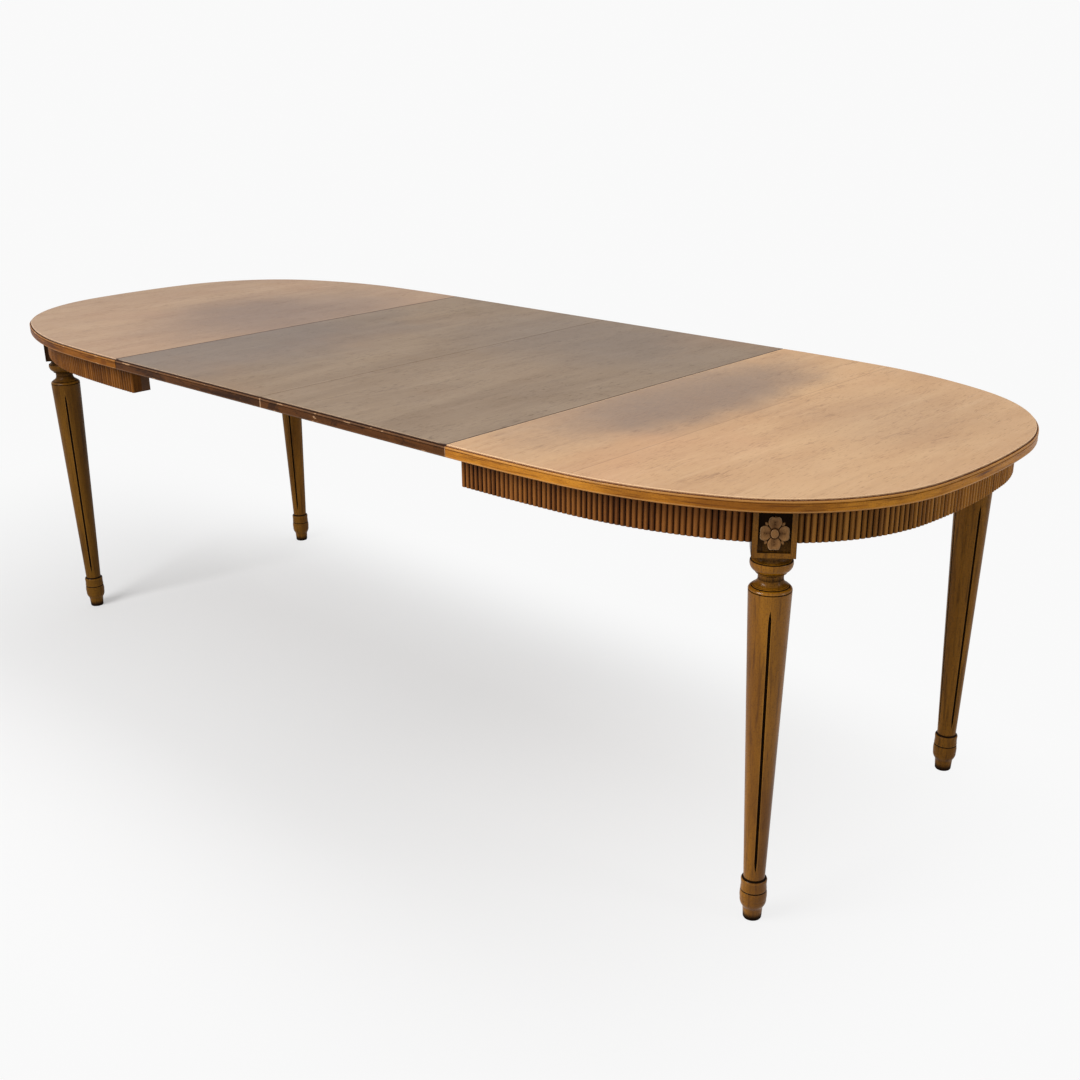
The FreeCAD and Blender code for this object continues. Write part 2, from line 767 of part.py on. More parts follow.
for end_name, outward, slide_row in (("left", -1, 1), ("right", 1, -1)):
    end_turn = 0 if outward > 0 else 180
    end_x = outward * end_start
    upper = end_board(s.arris_inset, layer_bottom, s.table_height)
    core = end_board(s.lipping_wide, under_top, layer_bottom)
    place(solid_feature(end_name + "_top_panel", upper.fuse(core).removeSplitter()), end_x, 0, 0, end_turn)

    lipping = band(0, s.lipping_wide, -90, 90, under_top, layer_bottom)
    outer_radii = [radius for stop, centre, radius in end_arcs]
    for height, radius in ((layer_bottom, s.edge_round_top), (under_top, s.edge_round_under)):
        rim = []
        for edge in lipping.Edges:
            box = edge.BoundBox
            level = abs(box.ZMin - float(height)) < touching and box.ZLength < touching
            if level and isinstance(edge.Curve, Part.Circle):
                if min(abs(edge.Curve.Radius - outer) for outer in outer_radii) < touching:
                    rim.append(edge)
        lipping = lipping.makeFillet(float(radius), rim)
    place(solid_feature(end_name + "_top_edge", lipping), end_x, 0, 0, end_turn)

    own_angle = float(s.leg_angle)
    for row, side in (("front", -1), ("back", 1)):
        angle = own_angle * side * outward
        strip = apron(None, angle) if angle < 0 else apron(angle, None)
        place(solid_feature("%s_%s_apron" % (end_name, row), strip), end_x, 0, 0, end_turn)
        leg("%s_%s_leg" % (end_name, row), end_turn, end_x, angle)
        rosette("%s_%s_rosette" % (end_name, row), end_turn, end_x, angle)
        slide_y = side * (middle_y + slide_row * runner_step)
        slide("%s_%s_slide" % (end_name, row), outward * s.leaf_width, slide_y, outward, -side * slide_row)
    place(solid_feature(end_name + "_end_apron", apron(-own_angle, own_angle)), end_x, 0, 0, end_turn)

    inner = s.apron_inset + s.apron_thick
    blocks = []
    for side in (-1, 1):
        run = math.degrees(float(s.end_block_long) / float(s.side_radius - inner))
        angles = sorted((side * 90, side * (90 - run)))
        blocks.append(band(inner, inner + s.end_block_thick, *angles, apron_bottom, under_top))
    place(solid_feature(end_name + "_end_blocks", Part.makeCompound(blocks)), end_x, 0, 0, end_turn)

    blocks = []
    for middle in glue_block_angles:
        near = float(s.glue_block_long) / 2
        run = run_to(middle, inner)
        angles = [angle_where(lambda here: run_to(here, inner) - run - shift, -90, 90)
                  for shift in (-near, near)]
        blocks.append(band(inner, inner + s.glue_block, *angles, under_top - s.glue_block, under_top))
    place(solid_feature(end_name + "_glue_blocks", Part.makeCompound(blocks)), end_x, 0, 0, end_turn)

    screws = []
    stops = []
    for side in (-1, 1):
        y = side * (middle_y + slide_row * runner_step)
        for number in range(slide_screw_count):
            run = float(s.slide_screw_margin + slide_screw_step * number)
            x = outward * (float(s.leaf_width) + float(s.slide_fixed) - run)
            length = float(s.runner_high - s.slide_screw_sunk + s.screw_bite)
            screws.append(screw(x, float(y), float(slide_screw_seat), length))
        stop_outer = tie_x - s.tie_wide / 2 - s.pull_out
        low_x = stop_outer - s.stop_long if outward > 0 else -stop_outer
        stop_high = s.tie_thick + s.slide_over_tie
        low = (low_x, y - s.runner_thick / 2, tie_top + s.slide_over_tie - stop_high)
        stop_name = "%sStop%d" % (end_name, side + 2)
        stops.append(plain_box(stop_name, s.stop_long, s.runner_thick, stop_high, low))
    solid_feature(end_name + "_slide_screws", Part.makeCompound(screws))
    group(end_name + "_stop_blocks", stops)

# ---- the two leaves

leaf_long = s.leaf_width - s.seam_gap
core_half = s.half_width - s.lipping_wide
layer_half = s.half_width - s.arris_inset
cleat_long = s.leaf_width - 2 * s.cleat_from_seam
cleat_y = middle_y + runner_step + s.runner_thick / 2 + s.runner_gap
cleat_screw_shares = (0.1, 0.5, 0.9)    # along a cleat

for leaf_name, side in (("leaf_1", -1), ("leaf_2", 1)):
    start_x = s.seam_gap / 2 if side > 0 else -(s.leaf_width - s.seam_gap / 2)
    board = new_body(leaf_name + "_panel")
    section = new_sketch(board, "YZ_Plane", "BoardSection")
    draw(section, [
        (-core_half, under_top), (core_half, under_top),
        (core_half, layer_bottom), (layer_half, layer_bottom),
        (layer_half, s.table_height), (-layer_half, s.table_height),
        (-layer_half, layer_bottom), (-core_half, layer_bottom),
    ])
    pad(board, section, leaf_long)
    place(board, start_x)
    for row, turn in (("front", 0), ("back", 180)):
        strip = new_body("%s_%s_edge" % (leaf_name, row))
        section = new_sketch(strip, "YZ_Plane", "EdgeSection")
        draw(section, [
            (s.edge_round_under - s.half_width, under_top),
            (-core_half, under_top),
            (-core_half, layer_bottom),
            (s.edge_round_top - s.half_width, layer_bottom, s.edge_round_top),
            (-s.half_width, layer_bottom - s.edge_round_top),
            (-s.half_width, under_top + s.edge_round_under, s.edge_round_under),
        ])
        pad(strip, section, leaf_long)
        place(strip, start_x if turn == 0 else start_x + leaf_long, 0, 0, turn)
        cleat = new_body("%s_%s_cleat" % (leaf_name, row))
        section = new_sketch(cleat, "YZ_Plane", "CleatSection")
        low_y, high_y = -(cleat_y + s.cleat_side), -cleat_y
        draw(section, [
            (low_y, under_top - s.cleat_side), (high_y, under_top - s.cleat_side),
            (high_y, under_top), (low_y, under_top),
        ])
        pad(cleat, section, cleat_long)
        middle = -(cleat_y + s.cleat_side / 2)
        centres = [(cleat_long * share, middle) for share in cleat_screw_shares]
        drill(cleat, "CleatHoles", centres, s.screw_hole, under_top - s.cleat_side, s.cleat_side)
        cleat_x = start_x + (leaf_long - cleat_long) / 2
        place(cleat, cleat_x if turn == 0 else cleat_x + cleat_long, 0, 0, turn)
    solid_feature(leaf_name + "_cleat_screws", Part.makeCompound([
        screw(float(cleat_x) + float(cleat_long) * share, sy * float(cleat_y + s.cleat_side / 2),
              float(under_top - s.cleat_side), float(s.cleat_side + s.screw_bite))
        for share in cleat_screw_shares for sy in (-1, 1)]))

# ---- every piece is sound before anything is written

doc.recompute()
for obj in doc.Objects:
    if "Invalid" in obj.State or "Error" in obj.State:
        raise RuntimeError("%s did not compute: %s" % (obj.Label, obj.State))
for piece in parts:
    if piece.Shape.isNull() or not piece.Shape.isValid() or not piece.Shape.Solids:
        raise RuntimeError("%s has no sound shape" % piece.Label)
for piece in parts:
    piece.Shape.exportStep("parts/%s.step" % piece.Label)
    print("%-28s %2d solids %12.0f mm3" % (piece.Label, len(piece.Shape.Solids), piece.Shape.Volume))
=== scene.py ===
import bmesh
import bpy
import math
import random
from mathutils import Matrix, Vector


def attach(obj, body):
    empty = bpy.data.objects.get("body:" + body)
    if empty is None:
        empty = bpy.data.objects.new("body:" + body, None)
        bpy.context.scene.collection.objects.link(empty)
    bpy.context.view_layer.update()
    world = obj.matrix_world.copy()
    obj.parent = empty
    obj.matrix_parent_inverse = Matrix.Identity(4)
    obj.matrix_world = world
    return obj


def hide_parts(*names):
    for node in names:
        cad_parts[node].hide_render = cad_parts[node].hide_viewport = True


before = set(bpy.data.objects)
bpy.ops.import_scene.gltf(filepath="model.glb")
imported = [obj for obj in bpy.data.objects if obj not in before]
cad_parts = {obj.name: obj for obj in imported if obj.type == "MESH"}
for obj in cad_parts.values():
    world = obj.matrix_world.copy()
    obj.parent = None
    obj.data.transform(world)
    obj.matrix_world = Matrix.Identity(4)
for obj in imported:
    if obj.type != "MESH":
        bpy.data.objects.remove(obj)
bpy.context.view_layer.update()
random.seed(7)
print("frame loaded")

# lengths are metres, angles degrees; X runs along the table and the front is -Y
# an end's own frame has the seam at x = 0 and the tip towards +X; its angles are the edge's outward direction

table = dict(
    height=0.750, topThick=0.022, veneerLayer=0.0035, halfWidth=0.497, leafWidth=0.500, seamGap=0.0004)
underTop = table["height"] - table["topThick"]
layerBottom = table["height"] - table["veneerLayer"]
endStart = table["leafWidth"] + table["seamGap"] / 2

outline = dict(
    sideRadius=3.4, sideArc=3.9, shoulderRadius=0.77, shoulderArc=20.9, cornerRadius=0.36, tipArc=6.4)


def direction(angle):
    return Vector((math.cos(math.radians(angle)), math.sin(math.radians(angle))))


def endArcs():
    # stop angle, centre and radius of each arc, from the seam to the tip
    sideStop = 90 - outline["sideArc"]
    shoulderStop = sideStop - outline["shoulderArc"]
    side = Vector((0, table["halfWidth"] - outline["sideRadius"]))
    shoulder = side + direction(sideStop) * (outline["sideRadius"] - outline["shoulderRadius"])
    corner = shoulder + direction(shoulderStop) * (outline["shoulderRadius"] - outline["cornerRadius"])
    shift = corner.y / math.sin(math.radians(outline["tipArc"]))
    tip = corner - direction(outline["tipArc"]) * shift
    return [
        (sideStop, side, outline["sideRadius"]),
        (shoulderStop, shoulder, outline["shoulderRadius"]),
        (outline["tipArc"], corner, outline["cornerRadius"]),
        (0, tip, outline["cornerRadius"] + shift),
    ]


arcs = endArcs()
borders = [-90] + [-arc[0] for arc in arcs[:3]] + [arc[0] for arc in arcs[2::-1]] + [90]


def arcAt(angle):
    return next(arc for arc in arcs if abs(angle) >= arc[0])


def edgePoint(angle, inset):
    centre, radius = arcAt(angle)[1:]
    mirrored = Vector((centre.x, -centre.y if angle < 0 else centre.y))
    return mirrored + direction(angle) * (radius - inset)


def runTo(angle, inset):
    # length of the edge from the seam at -90 to the angle
    run = 0
    for low, high in zip(borders, borders[1:]):
        if angle > low:
            run += math.radians(min(angle, high) - low) * (arcAt((low + high) / 2)[2] - inset)
    return run


def angleAt(run, inset):
    for low, high in zip(borders, borders[1:]):
        radius = arcAt((low + high) / 2)[2] - inset
        if run <= math.radians(high - low) * radius or high == 90:
            return low + math.degrees(run / radius)
        run -= math.radians(high - low) * radius


def edgeAngles(first, last, inset, step):
    # angles along the edge about a step apart, with every border between arcs among them
    stops = [first] + [border for border in borders if first < border < last] + [last]
    angles = []
    for low, high in zip(stops, stops[1:]):
        count = max(1, round((runTo(high, inset) - runTo(low, inset)) / step))
        angles += [low + (high - low) * number / count for number in range(count)]
    return angles + [last]


def onEnd(end, x, y, z):
    turn = 1 if end == "right" else -1
    return Vector((turn * (x + endStart), turn * y, z))


def ringFaces(rings, around, first=0):
    # quads between rings of points that follow each other
    faces = []
    for ring in range(rings - 1):
        low, high = first + ring * around, first + (ring + 1) * around
        for one in range(around):
            two = (one + 1) % around
            faces.append([low + one, low + two, high + two, high + one])
    return faces


class Form:
    # points and faces of a piece; each point has its place along and across the grain, and how proud it lies,
    # which also carries painted shade and highlights
    def __init__(self, seed):
        self.points, self.faces, self.grain, self.relief = [], [], [], []
        self.seed = seed  # shifts the grain, so that no two pieces are cut from the same wood

    def add(self, points, faces, grain, relief):
        start = len(self.points)
        self.points += points
        self.faces += [[start + corner for corner in face] for face in faces]
        self.grain += [(along + self.seed, across + self.seed * 0.37, deep) for along, across, deep in grain]
        self.relief += relief

    def sweep(self, columns):
        # columns are lists of (point, grain, relief) that make a closed section each
        around, count = len(columns[0]), len(columns)
        ends = [list(range(around)), list(range((count - 1) * around, count * around))]
        points, grain, relief = zip(*[spot for column in columns for spot in column])
        self.add(points, ringFaces(count, around) + ends, grain, relief)


def makePiece(name, form, finish, body, node, sharp=38):
    mesh = bpy.data.meshes.new(name)
    mesh.from_pydata([tuple(point) for point in form.points], [], form.faces)
    grain = mesh.attributes.new("grain", "FLOAT_VECTOR", "POINT")
    grain.data.foreach_set("vector", [value for spot in form.grain for value in spot])
    relief = mesh.attributes.new("relief", "FLOAT", "POINT")
    relief.data.foreach_set("value", form.relief)
    work = bmesh.new()
    work.from_mesh(mesh)
    bmesh.ops.recalc_face_normals(work, faces=work.faces)
    for face in work.faces:
        face.smooth = True
    for edge in work.edges:
        edge.smooth = edge.calc_face_angle(math.pi) < math.radians(sharp)
    work.to_mesh(mesh)
    work.free()
    mesh.materials.append(finish)
    piece = bpy.data.objects.new(name, mesh)
    bpy.context.scene.collection.objects.link(piece)
    weighted = piece.modifiers.new("FlatStaysFlat", "WEIGHTED_NORMAL")
    weighted.keep_sharp = True
    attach(piece, body)
    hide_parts(node)


def sweptPiece(name, columns, seed, finish, body, node):
    form = Form(seed)
    form.sweep(columns)
    makePiece(name, form, finish, body, node)


def tone(red, green, blue):
    # a colour as it is seen on a screen, 0 to 255, as the shader wants it
    def linear(value):
        value /= 255
        return value / 12.92 if value <= 0.04045 else ((value + 0.055) / 1.055) ** 2.4

    return linear(red), linear(green), linear(blue), 1.0


class Signal:
    # a node's output; arithmetic on values adds Math nodes
    def __init__(self, shading, socket):
        self.shading, self.socket = shading, socket

    def math(self, operation, *inputs):
        return self.shading.node("ShaderNodeMath", {"operation": operation}, dict(enumerate(inputs)))

    def __add__(self, other):
        return self.math("ADD", self, other)

    def __sub__(self, other):
        return self.math("SUBTRACT", self, other)

    def __rsub__(self, other):
        return self.math("SUBTRACT", other, self)

    def __mul__(self, other):
        return self.math("MULTIPLY", self, other)

    __radd__ = __add__
    __rmul__ = __mul__

    def size(self):
        return self.math("ABSOLUTE", self)


class Shading:
    def __init__(self, tree):
        self.tree = tree

    def node(self, kind, settings=None, inputs=None, output=0):
        made = self.tree.nodes.new(kind)
        for name, value in (settings or {}).items():
            setattr(made, name, value)
        for name, value in (inputs or {}).items():
            if isinstance(value, Signal):
                self.tree.links.new(value.socket, made.inputs[name])
            else:
                made.inputs[name].default_value = value
        return Signal(self, made.outputs[output])

    def lookedAt(self):
        # 1 where the eye meets the surface, also in a gloss or through glass; 0 for its light on other things
        camera, glossy, through = [
            self.node("ShaderNodeLightPath", output="Is %s Ray" % kind)
            for kind in ("Camera", "Glossy", "Transmission")]
        settings = {"operation": "ADD", "use_clamp": True}
        return self.node("ShaderNodeMath", settings, {0: camera, 1: glossy + through})

    def blend(self, factor, first, second, last):
        # the first node's shader and the second shader, mixed into the last node
        inputs = {0: factor, 1: Signal(self, first.outputs[0]), 2: second}
        mixed = self.node("ShaderNodeMixShader", None, inputs)
        self.tree.links.new(mixed.socket, self.tree.nodes[last].inputs["Surface"])


class Finish(Shading):
    def __init__(self, name, constants):
        self.material = bpy.data.materials.new(name)
        self.material.use_nodes = True
        super().__init__(self.material.node_tree)
        self.shader = self.tree.nodes["Principled BSDF"]
        for socket, value in constants.items():
            self.shader.inputs[socket].default_value = value

    def feed(self, signals):
        for socket, signal in signals.items():
            self.tree.links.new(signal.socket, self.shader.inputs[socket])

    def along(self):
        return self.node("ShaderNodeAttribute", {"attribute_name": "grain"}, output="Vector")

    def relief(self):
        return self.node("ShaderNodeAttribute", {"attribute_name": "relief"}, output="Fac")

    def place(self):
        return self.node("ShaderNodeTexCoord", output="Object")

    def axis(self, letter):
        return self.node("ShaderNodeSeparateXYZ", None, {0: self.place()}, letter)

    def vector(self, operation, one, two, output=0):
        return self.node("ShaderNodeVectorMath", {"operation": operation}, {0: one, 1: two}, output)

    def mix(self, factor, one, two):
        return self.node("ShaderNodeMix", {"data_type": "RGBA"}, {0: factor, 6: one, 7: two}, 2)

    def fade(self, value, low, high):
        # 0 up to low and 1 from high on, with soft shoulders
        inputs = {"Value": value, "From Min": low, "From Max": high}
        return self.node("ShaderNodeMapRange", {"interpolation_type": "SMOOTHSTEP"}, inputs)

    def noise(self, where, scale, detail=2, roughness=0.5, distortion=0.0):
        inputs = {"Vector": where, "Scale": scale, "Detail": detail}
        inputs.update({"Roughness": roughness, "Distortion": distortion})
        return self.node("ShaderNodeTexNoise", None, inputs)

    def fibre(self, where, scale, stretch, detail=2, roughness=0.5, distortion=0.0):
        # noise drawn out along the grain
        drawn = self.vector("MULTIPLY", where, (1 / stretch, 1, 1))
        return self.noise(drawn, scale, detail, roughness, distortion)

    def patch(self, centre, radii, ragged, soft, scale=6):
        # soft blot on the table, 1 at its middle
        spot = self.vector("SUBTRACT", self.place(), (*centre, 0))
        spot = self.vector("MULTIPLY", spot, (1 / radii[0], 1 / radii[1], 0))
        distance = self.vector("LENGTH", spot, (0, 0, 0), 1)
        wander = (self.noise(self.place(), scale, 3, 0.55) - 0.5) * ragged
        return self.fade(distance + wander, 1 + soft, 1 - soft)

    def bump(self, height, strength, distance):
        inputs = {"Height": height, "Strength": strength, "Distance": distance}
        return self.node("ShaderNodeBump", None, inputs)


# joint is where two sheets of veneer meet, in the table's X
rightVeneer = dict(
    light=tone(200, 160, 118), deep=tone(188, 146, 105), fleck=tone(120, 80, 50), pale=tone(218, 184, 146),
    smudge=tone(122, 104, 92), rim=tone(228, 190, 148), rosy=tone(202, 150, 114), stain=tone(106, 56, 32),
    rough=0.52, joint=0.759)
leftVeneer = dict(
    light=tone(167, 138, 111), deep=tone(157, 127, 102), fleck=tone(104, 76, 58), pale=tone(184, 155, 129),
    smudge=tone(112, 95, 87), rim=tone(196, 164, 134), rosy=tone(166, 126, 100), stain=tone(50, 25, 17),
    rough=0.52, joint=None)
leafVeneer = dict(
    light=tone(136, 115, 93), deep=tone(124, 103, 82), fleck=tone(74, 55, 42), pale=tone(154, 132, 112),
    smudge=tone(106, 96, 91), rim=tone(156, 132, 108), rosy=tone(148, 110, 78), stain=tone(52, 30, 20),
    rough=0.52, joint=None)


def veneerFinish(name, look, blots):
    # grain across the table: faint bands, short dark flecks, faded and greyed blots, stained edges, and pale
    # rims that are worn and painted highlights
    wood = Finish(name, {"Specular IOR Level": 0.15})
    where, relief, joint = wood.along(), wood.relief(), look["joint"]
    broad = wood.fibre(where, 9, 4, 3, 0.6, 0.5)
    bands = wood.fibre(where, 70, 16, 3, 0.6, 0.2)
    flecks = wood.fibre(where, 640, 14, 2, 0.5, 0.1)
    hairs = wood.fibre(where, 900, 16, 2, 0.6)
    fleckArea = wood.fibre(where, 34, 3, 3, 0.6)
    wander = wood.fibre(where, 46, 9, 3, 0.55, 0.4)
    colour = wood.mix(wood.fade(broad, 0.32, 0.68), look["deep"], look["light"])
    colour = wood.mix(wood.fade(bands, 0.52, 0.74) * 0.12, colour, look["fleck"])
    colour = wood.mix(wood.fade(bands, 0.46, 0.28) * 0.2, colour, look["pale"])
    dashes = wood.fade(flecks + (fleckArea - 0.5) * 0.3, 0.60, 0.69)
    colour = wood.mix(dashes * 0.5, colour, look["fleck"])
    colour = wood.mix(wood.fade(hairs, 0.5, 0.75) * 0.12, colour, look["fleck"])
    colour = wood.mix(wood.fade(hairs, 0.45, 0.3) * 0.14, colour, look["pale"])
    streaks = wood.fade((wander - 0.5).size(), 0.016, 0.002) * wood.fade(fleckArea, 0.48, 0.62)
    colour = wood.mix(streaks * 0.42, colour, look["fleck"])
    rosy = wood.fade(wood.noise(wood.place(), 2.3, 3, 0.5), 0.48, 0.72)
    colour = wood.mix(rosy * 0.3, colour, look["rosy"])
    if joint:
        off = wood.axis("X") - joint + (wander - 0.5) * 0.002
        beyond = wood.fade(off, -0.0006, 0.0006)
        colour = wood.mix(beyond * 0.07, colour, look["pale"])
    for centre, radii, strength, ragged, soft in blots:
        wearAndHighlight = wood.patch(centre, radii, ragged, soft) * strength
        wearAndHighlight = wearAndHighlight * (0.85 + wood.fade(hairs, 0.38, 0.6) * 0.25)
        if joint and centre[0] < joint:
            wearAndHighlight = wearAndHighlight * (1 - beyond * 0.5)
        colour = wood.mix(wearAndHighlight, colour, look["smudge"])
    if joint:
        colour = wood.mix(wood.fade(off.size(), 0.0016, 0.0004) * 0.42, colour, look["fleck"])
    colour = wood.mix(wood.fade((flecks - 0.5) * 0.5 - relief, 0.25, 0.6), colour, look["stain"])
    # proud eased rims turn pale: worn arris and painted highlight
    colour = wood.mix(wood.fade(relief + (hairs - 0.5) * 0.4, 0.2, 0.7) * 0.85, colour, look["rim"])
    wear = wood.noise(wood.place(), 14, 4, 0.6)
    rough = look["rough"] + (wear - 0.5) * 0.14 + dashes * 0.12
    height = flecks * 0.5 + hairs * 0.4 - dashes * 0.5
    wood.feed({"Base Color": colour, "Roughness": rough, "Normal": wood.bump(height, 0.2, 0.0006)})
    return wood.material


rightBlots = [  # centre, radii, strength, raggedness, softness
    ((0.59, 0.04), (0.15, 0.34), 0.6, 0.7, 0.45),
    ((0.62, 0.05), (0.10, 0.24), 0.5, 0.8, 0.6),
    ((0.57, -0.27), (0.10, 0.20), 0.26, 0.8, 0.6),
    ((0.72, -0.36), (0.36, 0.24), 0.10, 0.6, 0.8),
    ((0.96, 0.14), (0.14, 0.18), 0.16, 1.0, 0.7),
]
leftBlots = [((-0.64, 0.04), (0.22, 0.30), 0.6, 0.8, 0.6), ((-0.76, 0.02), (0.14, 0.16), 0.3, 0.9, 0.7)]
leafBlots = [((-0.44, -0.25), (0.22, 0.4), 0.6, 0.8, 0.6), ((0.10, 0.30), (0.30, 0.20), 0.35, 0.8, 0.6)]
edgeBlots = [((1.06, -0.42), (0.13, 0.10), 0.45, 0.9, 0.4), ((0.86, -0.49), (0.05, 0.10), 0.3, 0.9, 0.5)]
apronBlots = [
    ((0.80, -0.47), (0.36, 0.16), 0.34, 0.5, 0.4),
    ((0.80, 0.47), (0.36, 0.16), 0.34, 0.5, 0.4),
    ((1.10, -0.26), (0.14, 0.16), 0.5, 0.5, 0.6),
]

# solid wood: line is its dark grain, glazeAndShade what lies in its hollows, dark glaze and painted shade,
# and wearAndHighlight its rubbed edges with painted highlights; shine is the bare wood's own gloss and
# lacquer the coat's
edgeWood = dict(
    light=tone(196, 130, 40), deep=tone(160, 98, 24), line=tone(92, 48, 10), glazeAndShade=tone(66, 32, 10),
    wearAndHighlight=tone(196, 142, 80), rough=0.4, lacquer=0.1, shine=0.05, streaks=0.9)
# the left end's edge and aprons are darker copies, as less light reaches them: painted shade
shadedLeftEdgeWood = dict(
    edgeWood, light=tone(127, 76, 22), deep=tone(97, 53, 15), line=tone(58, 29, 9), glazeAndShade=tone(26, 12, 5),
    wearAndHighlight=tone(154, 106, 58), lacquer=0.02, shine=0.02)
leafEdgeWood = dict(
    light=tone(86, 50, 20), deep=tone(42, 22, 9), line=tone(28, 14, 6), glazeAndShade=tone(14, 7, 4),
    wearAndHighlight=tone(122, 88, 62), rough=0.5, lacquer=0.05, shine=0.04)
apronWood = dict(
    light=tone(127, 75, 26), deep=tone(92, 49, 15), line=tone(54, 25, 8), glazeAndShade=tone(9, 4, 2),
    wearAndHighlight=tone(146, 92, 40), rough=0.5, lacquer=0.05, shine=0.05)
# darker copy for the left aprons: painted shade
shadedLeftApronWood = dict(apronWood, light=tone(119, 72, 22), deep=tone(85, 48, 13), lacquer=0.02)
legWood = dict(
    light=tone(148, 96, 16), deep=tone(112, 68, 8), line=tone(64, 33, 6), glazeAndShade=tone(9, 4, 2),
    wearAndHighlight=tone(188, 136, 66), rough=0.36, lacquer=0.3, shine=0.03)
# darker copies of the leg wood for the left front and back legs, which stand in less light: painted shade
shadedLegWood = dict(
    legWood, light=tone(110, 73, 18), deep=tone(80, 50, 10), line=tone(50, 28, 7), glazeAndShade=tone(22, 10, 5),
    lacquer=0.08)
shadedBackLegWood = dict(shadedLegWood, light=tone(140, 93, 27), deep=tone(106, 67, 16))
# the end apron's wood is a lighter copy, for the light that reaches the table's end: painted light
litEndApronWood = dict(
    apronWood, light=tone(166, 109, 36), deep=tone(128, 78, 24), glazeAndShade=tone(20, 9, 4),
    wearAndHighlight=tone(180, 124, 56))
bareChip = tone(184, 146, 110)


def stainedFinish(name, look, mottle=0.4, chips=0.0, patchy=0.0, wear=0.6, blots=()):
    # stained and lacquered solid wood: dark glaze and painted shade where it lies deep, paler where edges are
    # worn and highlights are painted
    wood = Finish(name, {"Specular IOR Level": look["shine"], "Coat Roughness": 0.14})
    where, relief = wood.along(), wood.relief()
    broad = wood.fibre(where, 14, 6, 3, 0.55, 0.6)
    lines = wood.fibre(where, 180, 18, 3, 0.6, 0.2)
    fine = wood.fibre(where, 700, 12, 2, 0.6)
    speckle = wood.noise(where, 420, 3, 0.6)
    colour = wood.mix(wood.fade(broad, 0.3, 0.7), look["deep"], look["light"])
    if patchy:
        cloud = wood.fibre(where, 46, 2.4, 3, 0.6, 0.8)
        colour = wood.mix(wood.fade(cloud, 0.52, 0.62) * patchy, colour, look["deep"])
        colour = wood.mix(wood.fade(cloud, 0.46, 0.36) * patchy, colour, look["light"])
    for centre, radii, strength, ragged, soft in blots:
        colour = wood.mix(wood.patch(centre, radii, ragged, soft, 30) * strength, colour, look["line"])
    colour = wood.mix(wood.fade(lines, 0.48, 0.72) * look.get("streaks", 0.55), colour, look["line"])
    colour = wood.mix(wood.fade(fine, 0.45, 0.8) * 0.35, colour, look["line"])
    colour = wood.mix(wood.fade(speckle, 0.48, 0.72) * mottle, colour, look["line"])
    # proud edges turn pale: rubbed wood and painted highlight, as strong as wear says
    wearAndHighlight = wood.fade(relief + (speckle - 0.5) * 0.4, 0.2, 0.9)
    colour = wood.mix(wearAndHighlight * wear, colour, look["wearAndHighlight"])
    # hollows turn dark: glaze and painted shade
    glazeAndShade = wood.fade(0 - relief + (broad - 0.5) * 0.2 + (speckle - 0.5) * 0.25, 0.1, 0.85)
    colour = wood.mix(glazeAndShade * 0.97, colour, look["glazeAndShade"])
    if chips:
        knock = wood.fibre(where, 62, 3, 3, 0.6)
        knocked = wood.fade(knock + relief * 0.14, 0.70, 0.73)
        colour = wood.mix(knocked * chips, colour, bareChip)
    rough = look["rough"] + (speckle - 0.5) * 0.14 + glazeAndShade * 0.3
    height = lines * 0.5 + fine * 0.3 + speckle * 0.2
    wood.feed({"Base Color": colour, "Roughness": rough, "Coat Weight": (1 - glazeAndShade) * look["lacquer"]})
    wood.feed({"Normal": wood.bump(height, 0.14, 0.0005)})
    return wood.material


bareWood = dict(light=tone(176, 140, 98), deep=tone(150, 112, 74), line=tone(112, 78, 48), rough=0.62)
stainedBlock = dict(light=tone(96, 60, 28), deep=tone(74, 44, 18), line=tone(46, 26, 10), rough=0.55)


def barFinish(name, look, grainAxis):
    # plain hardwood of the runners and blocks, with the grain along the axis
    wood = Finish(name, {"Specular IOR Level": 0.3})
    stretch = [1.0, 1.0, 1.0]
    stretch["xyz".index(grainAxis)] = 1 / 16
    drawn = wood.vector("MULTIPLY", wood.place(), tuple(stretch))
    broad = wood.noise(drawn, 26, 3, 0.55, 0.3)
    lines = wood.noise(drawn, 260, 3, 0.6)
    dust = wood.noise(wood.place(), 18, 4, 0.6)
    colour = wood.mix(wood.fade(broad, 0.3, 0.7), look["deep"], look["light"])
    colour = wood.mix(wood.fade(lines, 0.5, 0.8) * 0.5, colour, look["line"])
    colour = wood.mix(wood.fade(dust, 0.5, 0.8) * 0.3, colour, look["line"])
    rough = look["rough"] + (dust - 0.5) * 0.2
    wood.feed({"Base Color": colour, "Roughness": rough, "Normal": wood.bump(lines, 0.25, 0.0006)})
    return wood.material


def steelFinish(name):
    steel = Finish(name, {"Metallic": 1.0})
    tarnish = steel.noise(steel.place(), 300, 3, 0.6)
    colour = steel.mix(steel.fade(tarnish, 0.4, 0.7), tone(178, 176, 168), tone(122, 110, 92))
    steel.feed({"Base Color": colour, "Roughness": 0.32 + tarnish * 0.25})
    return steel.material


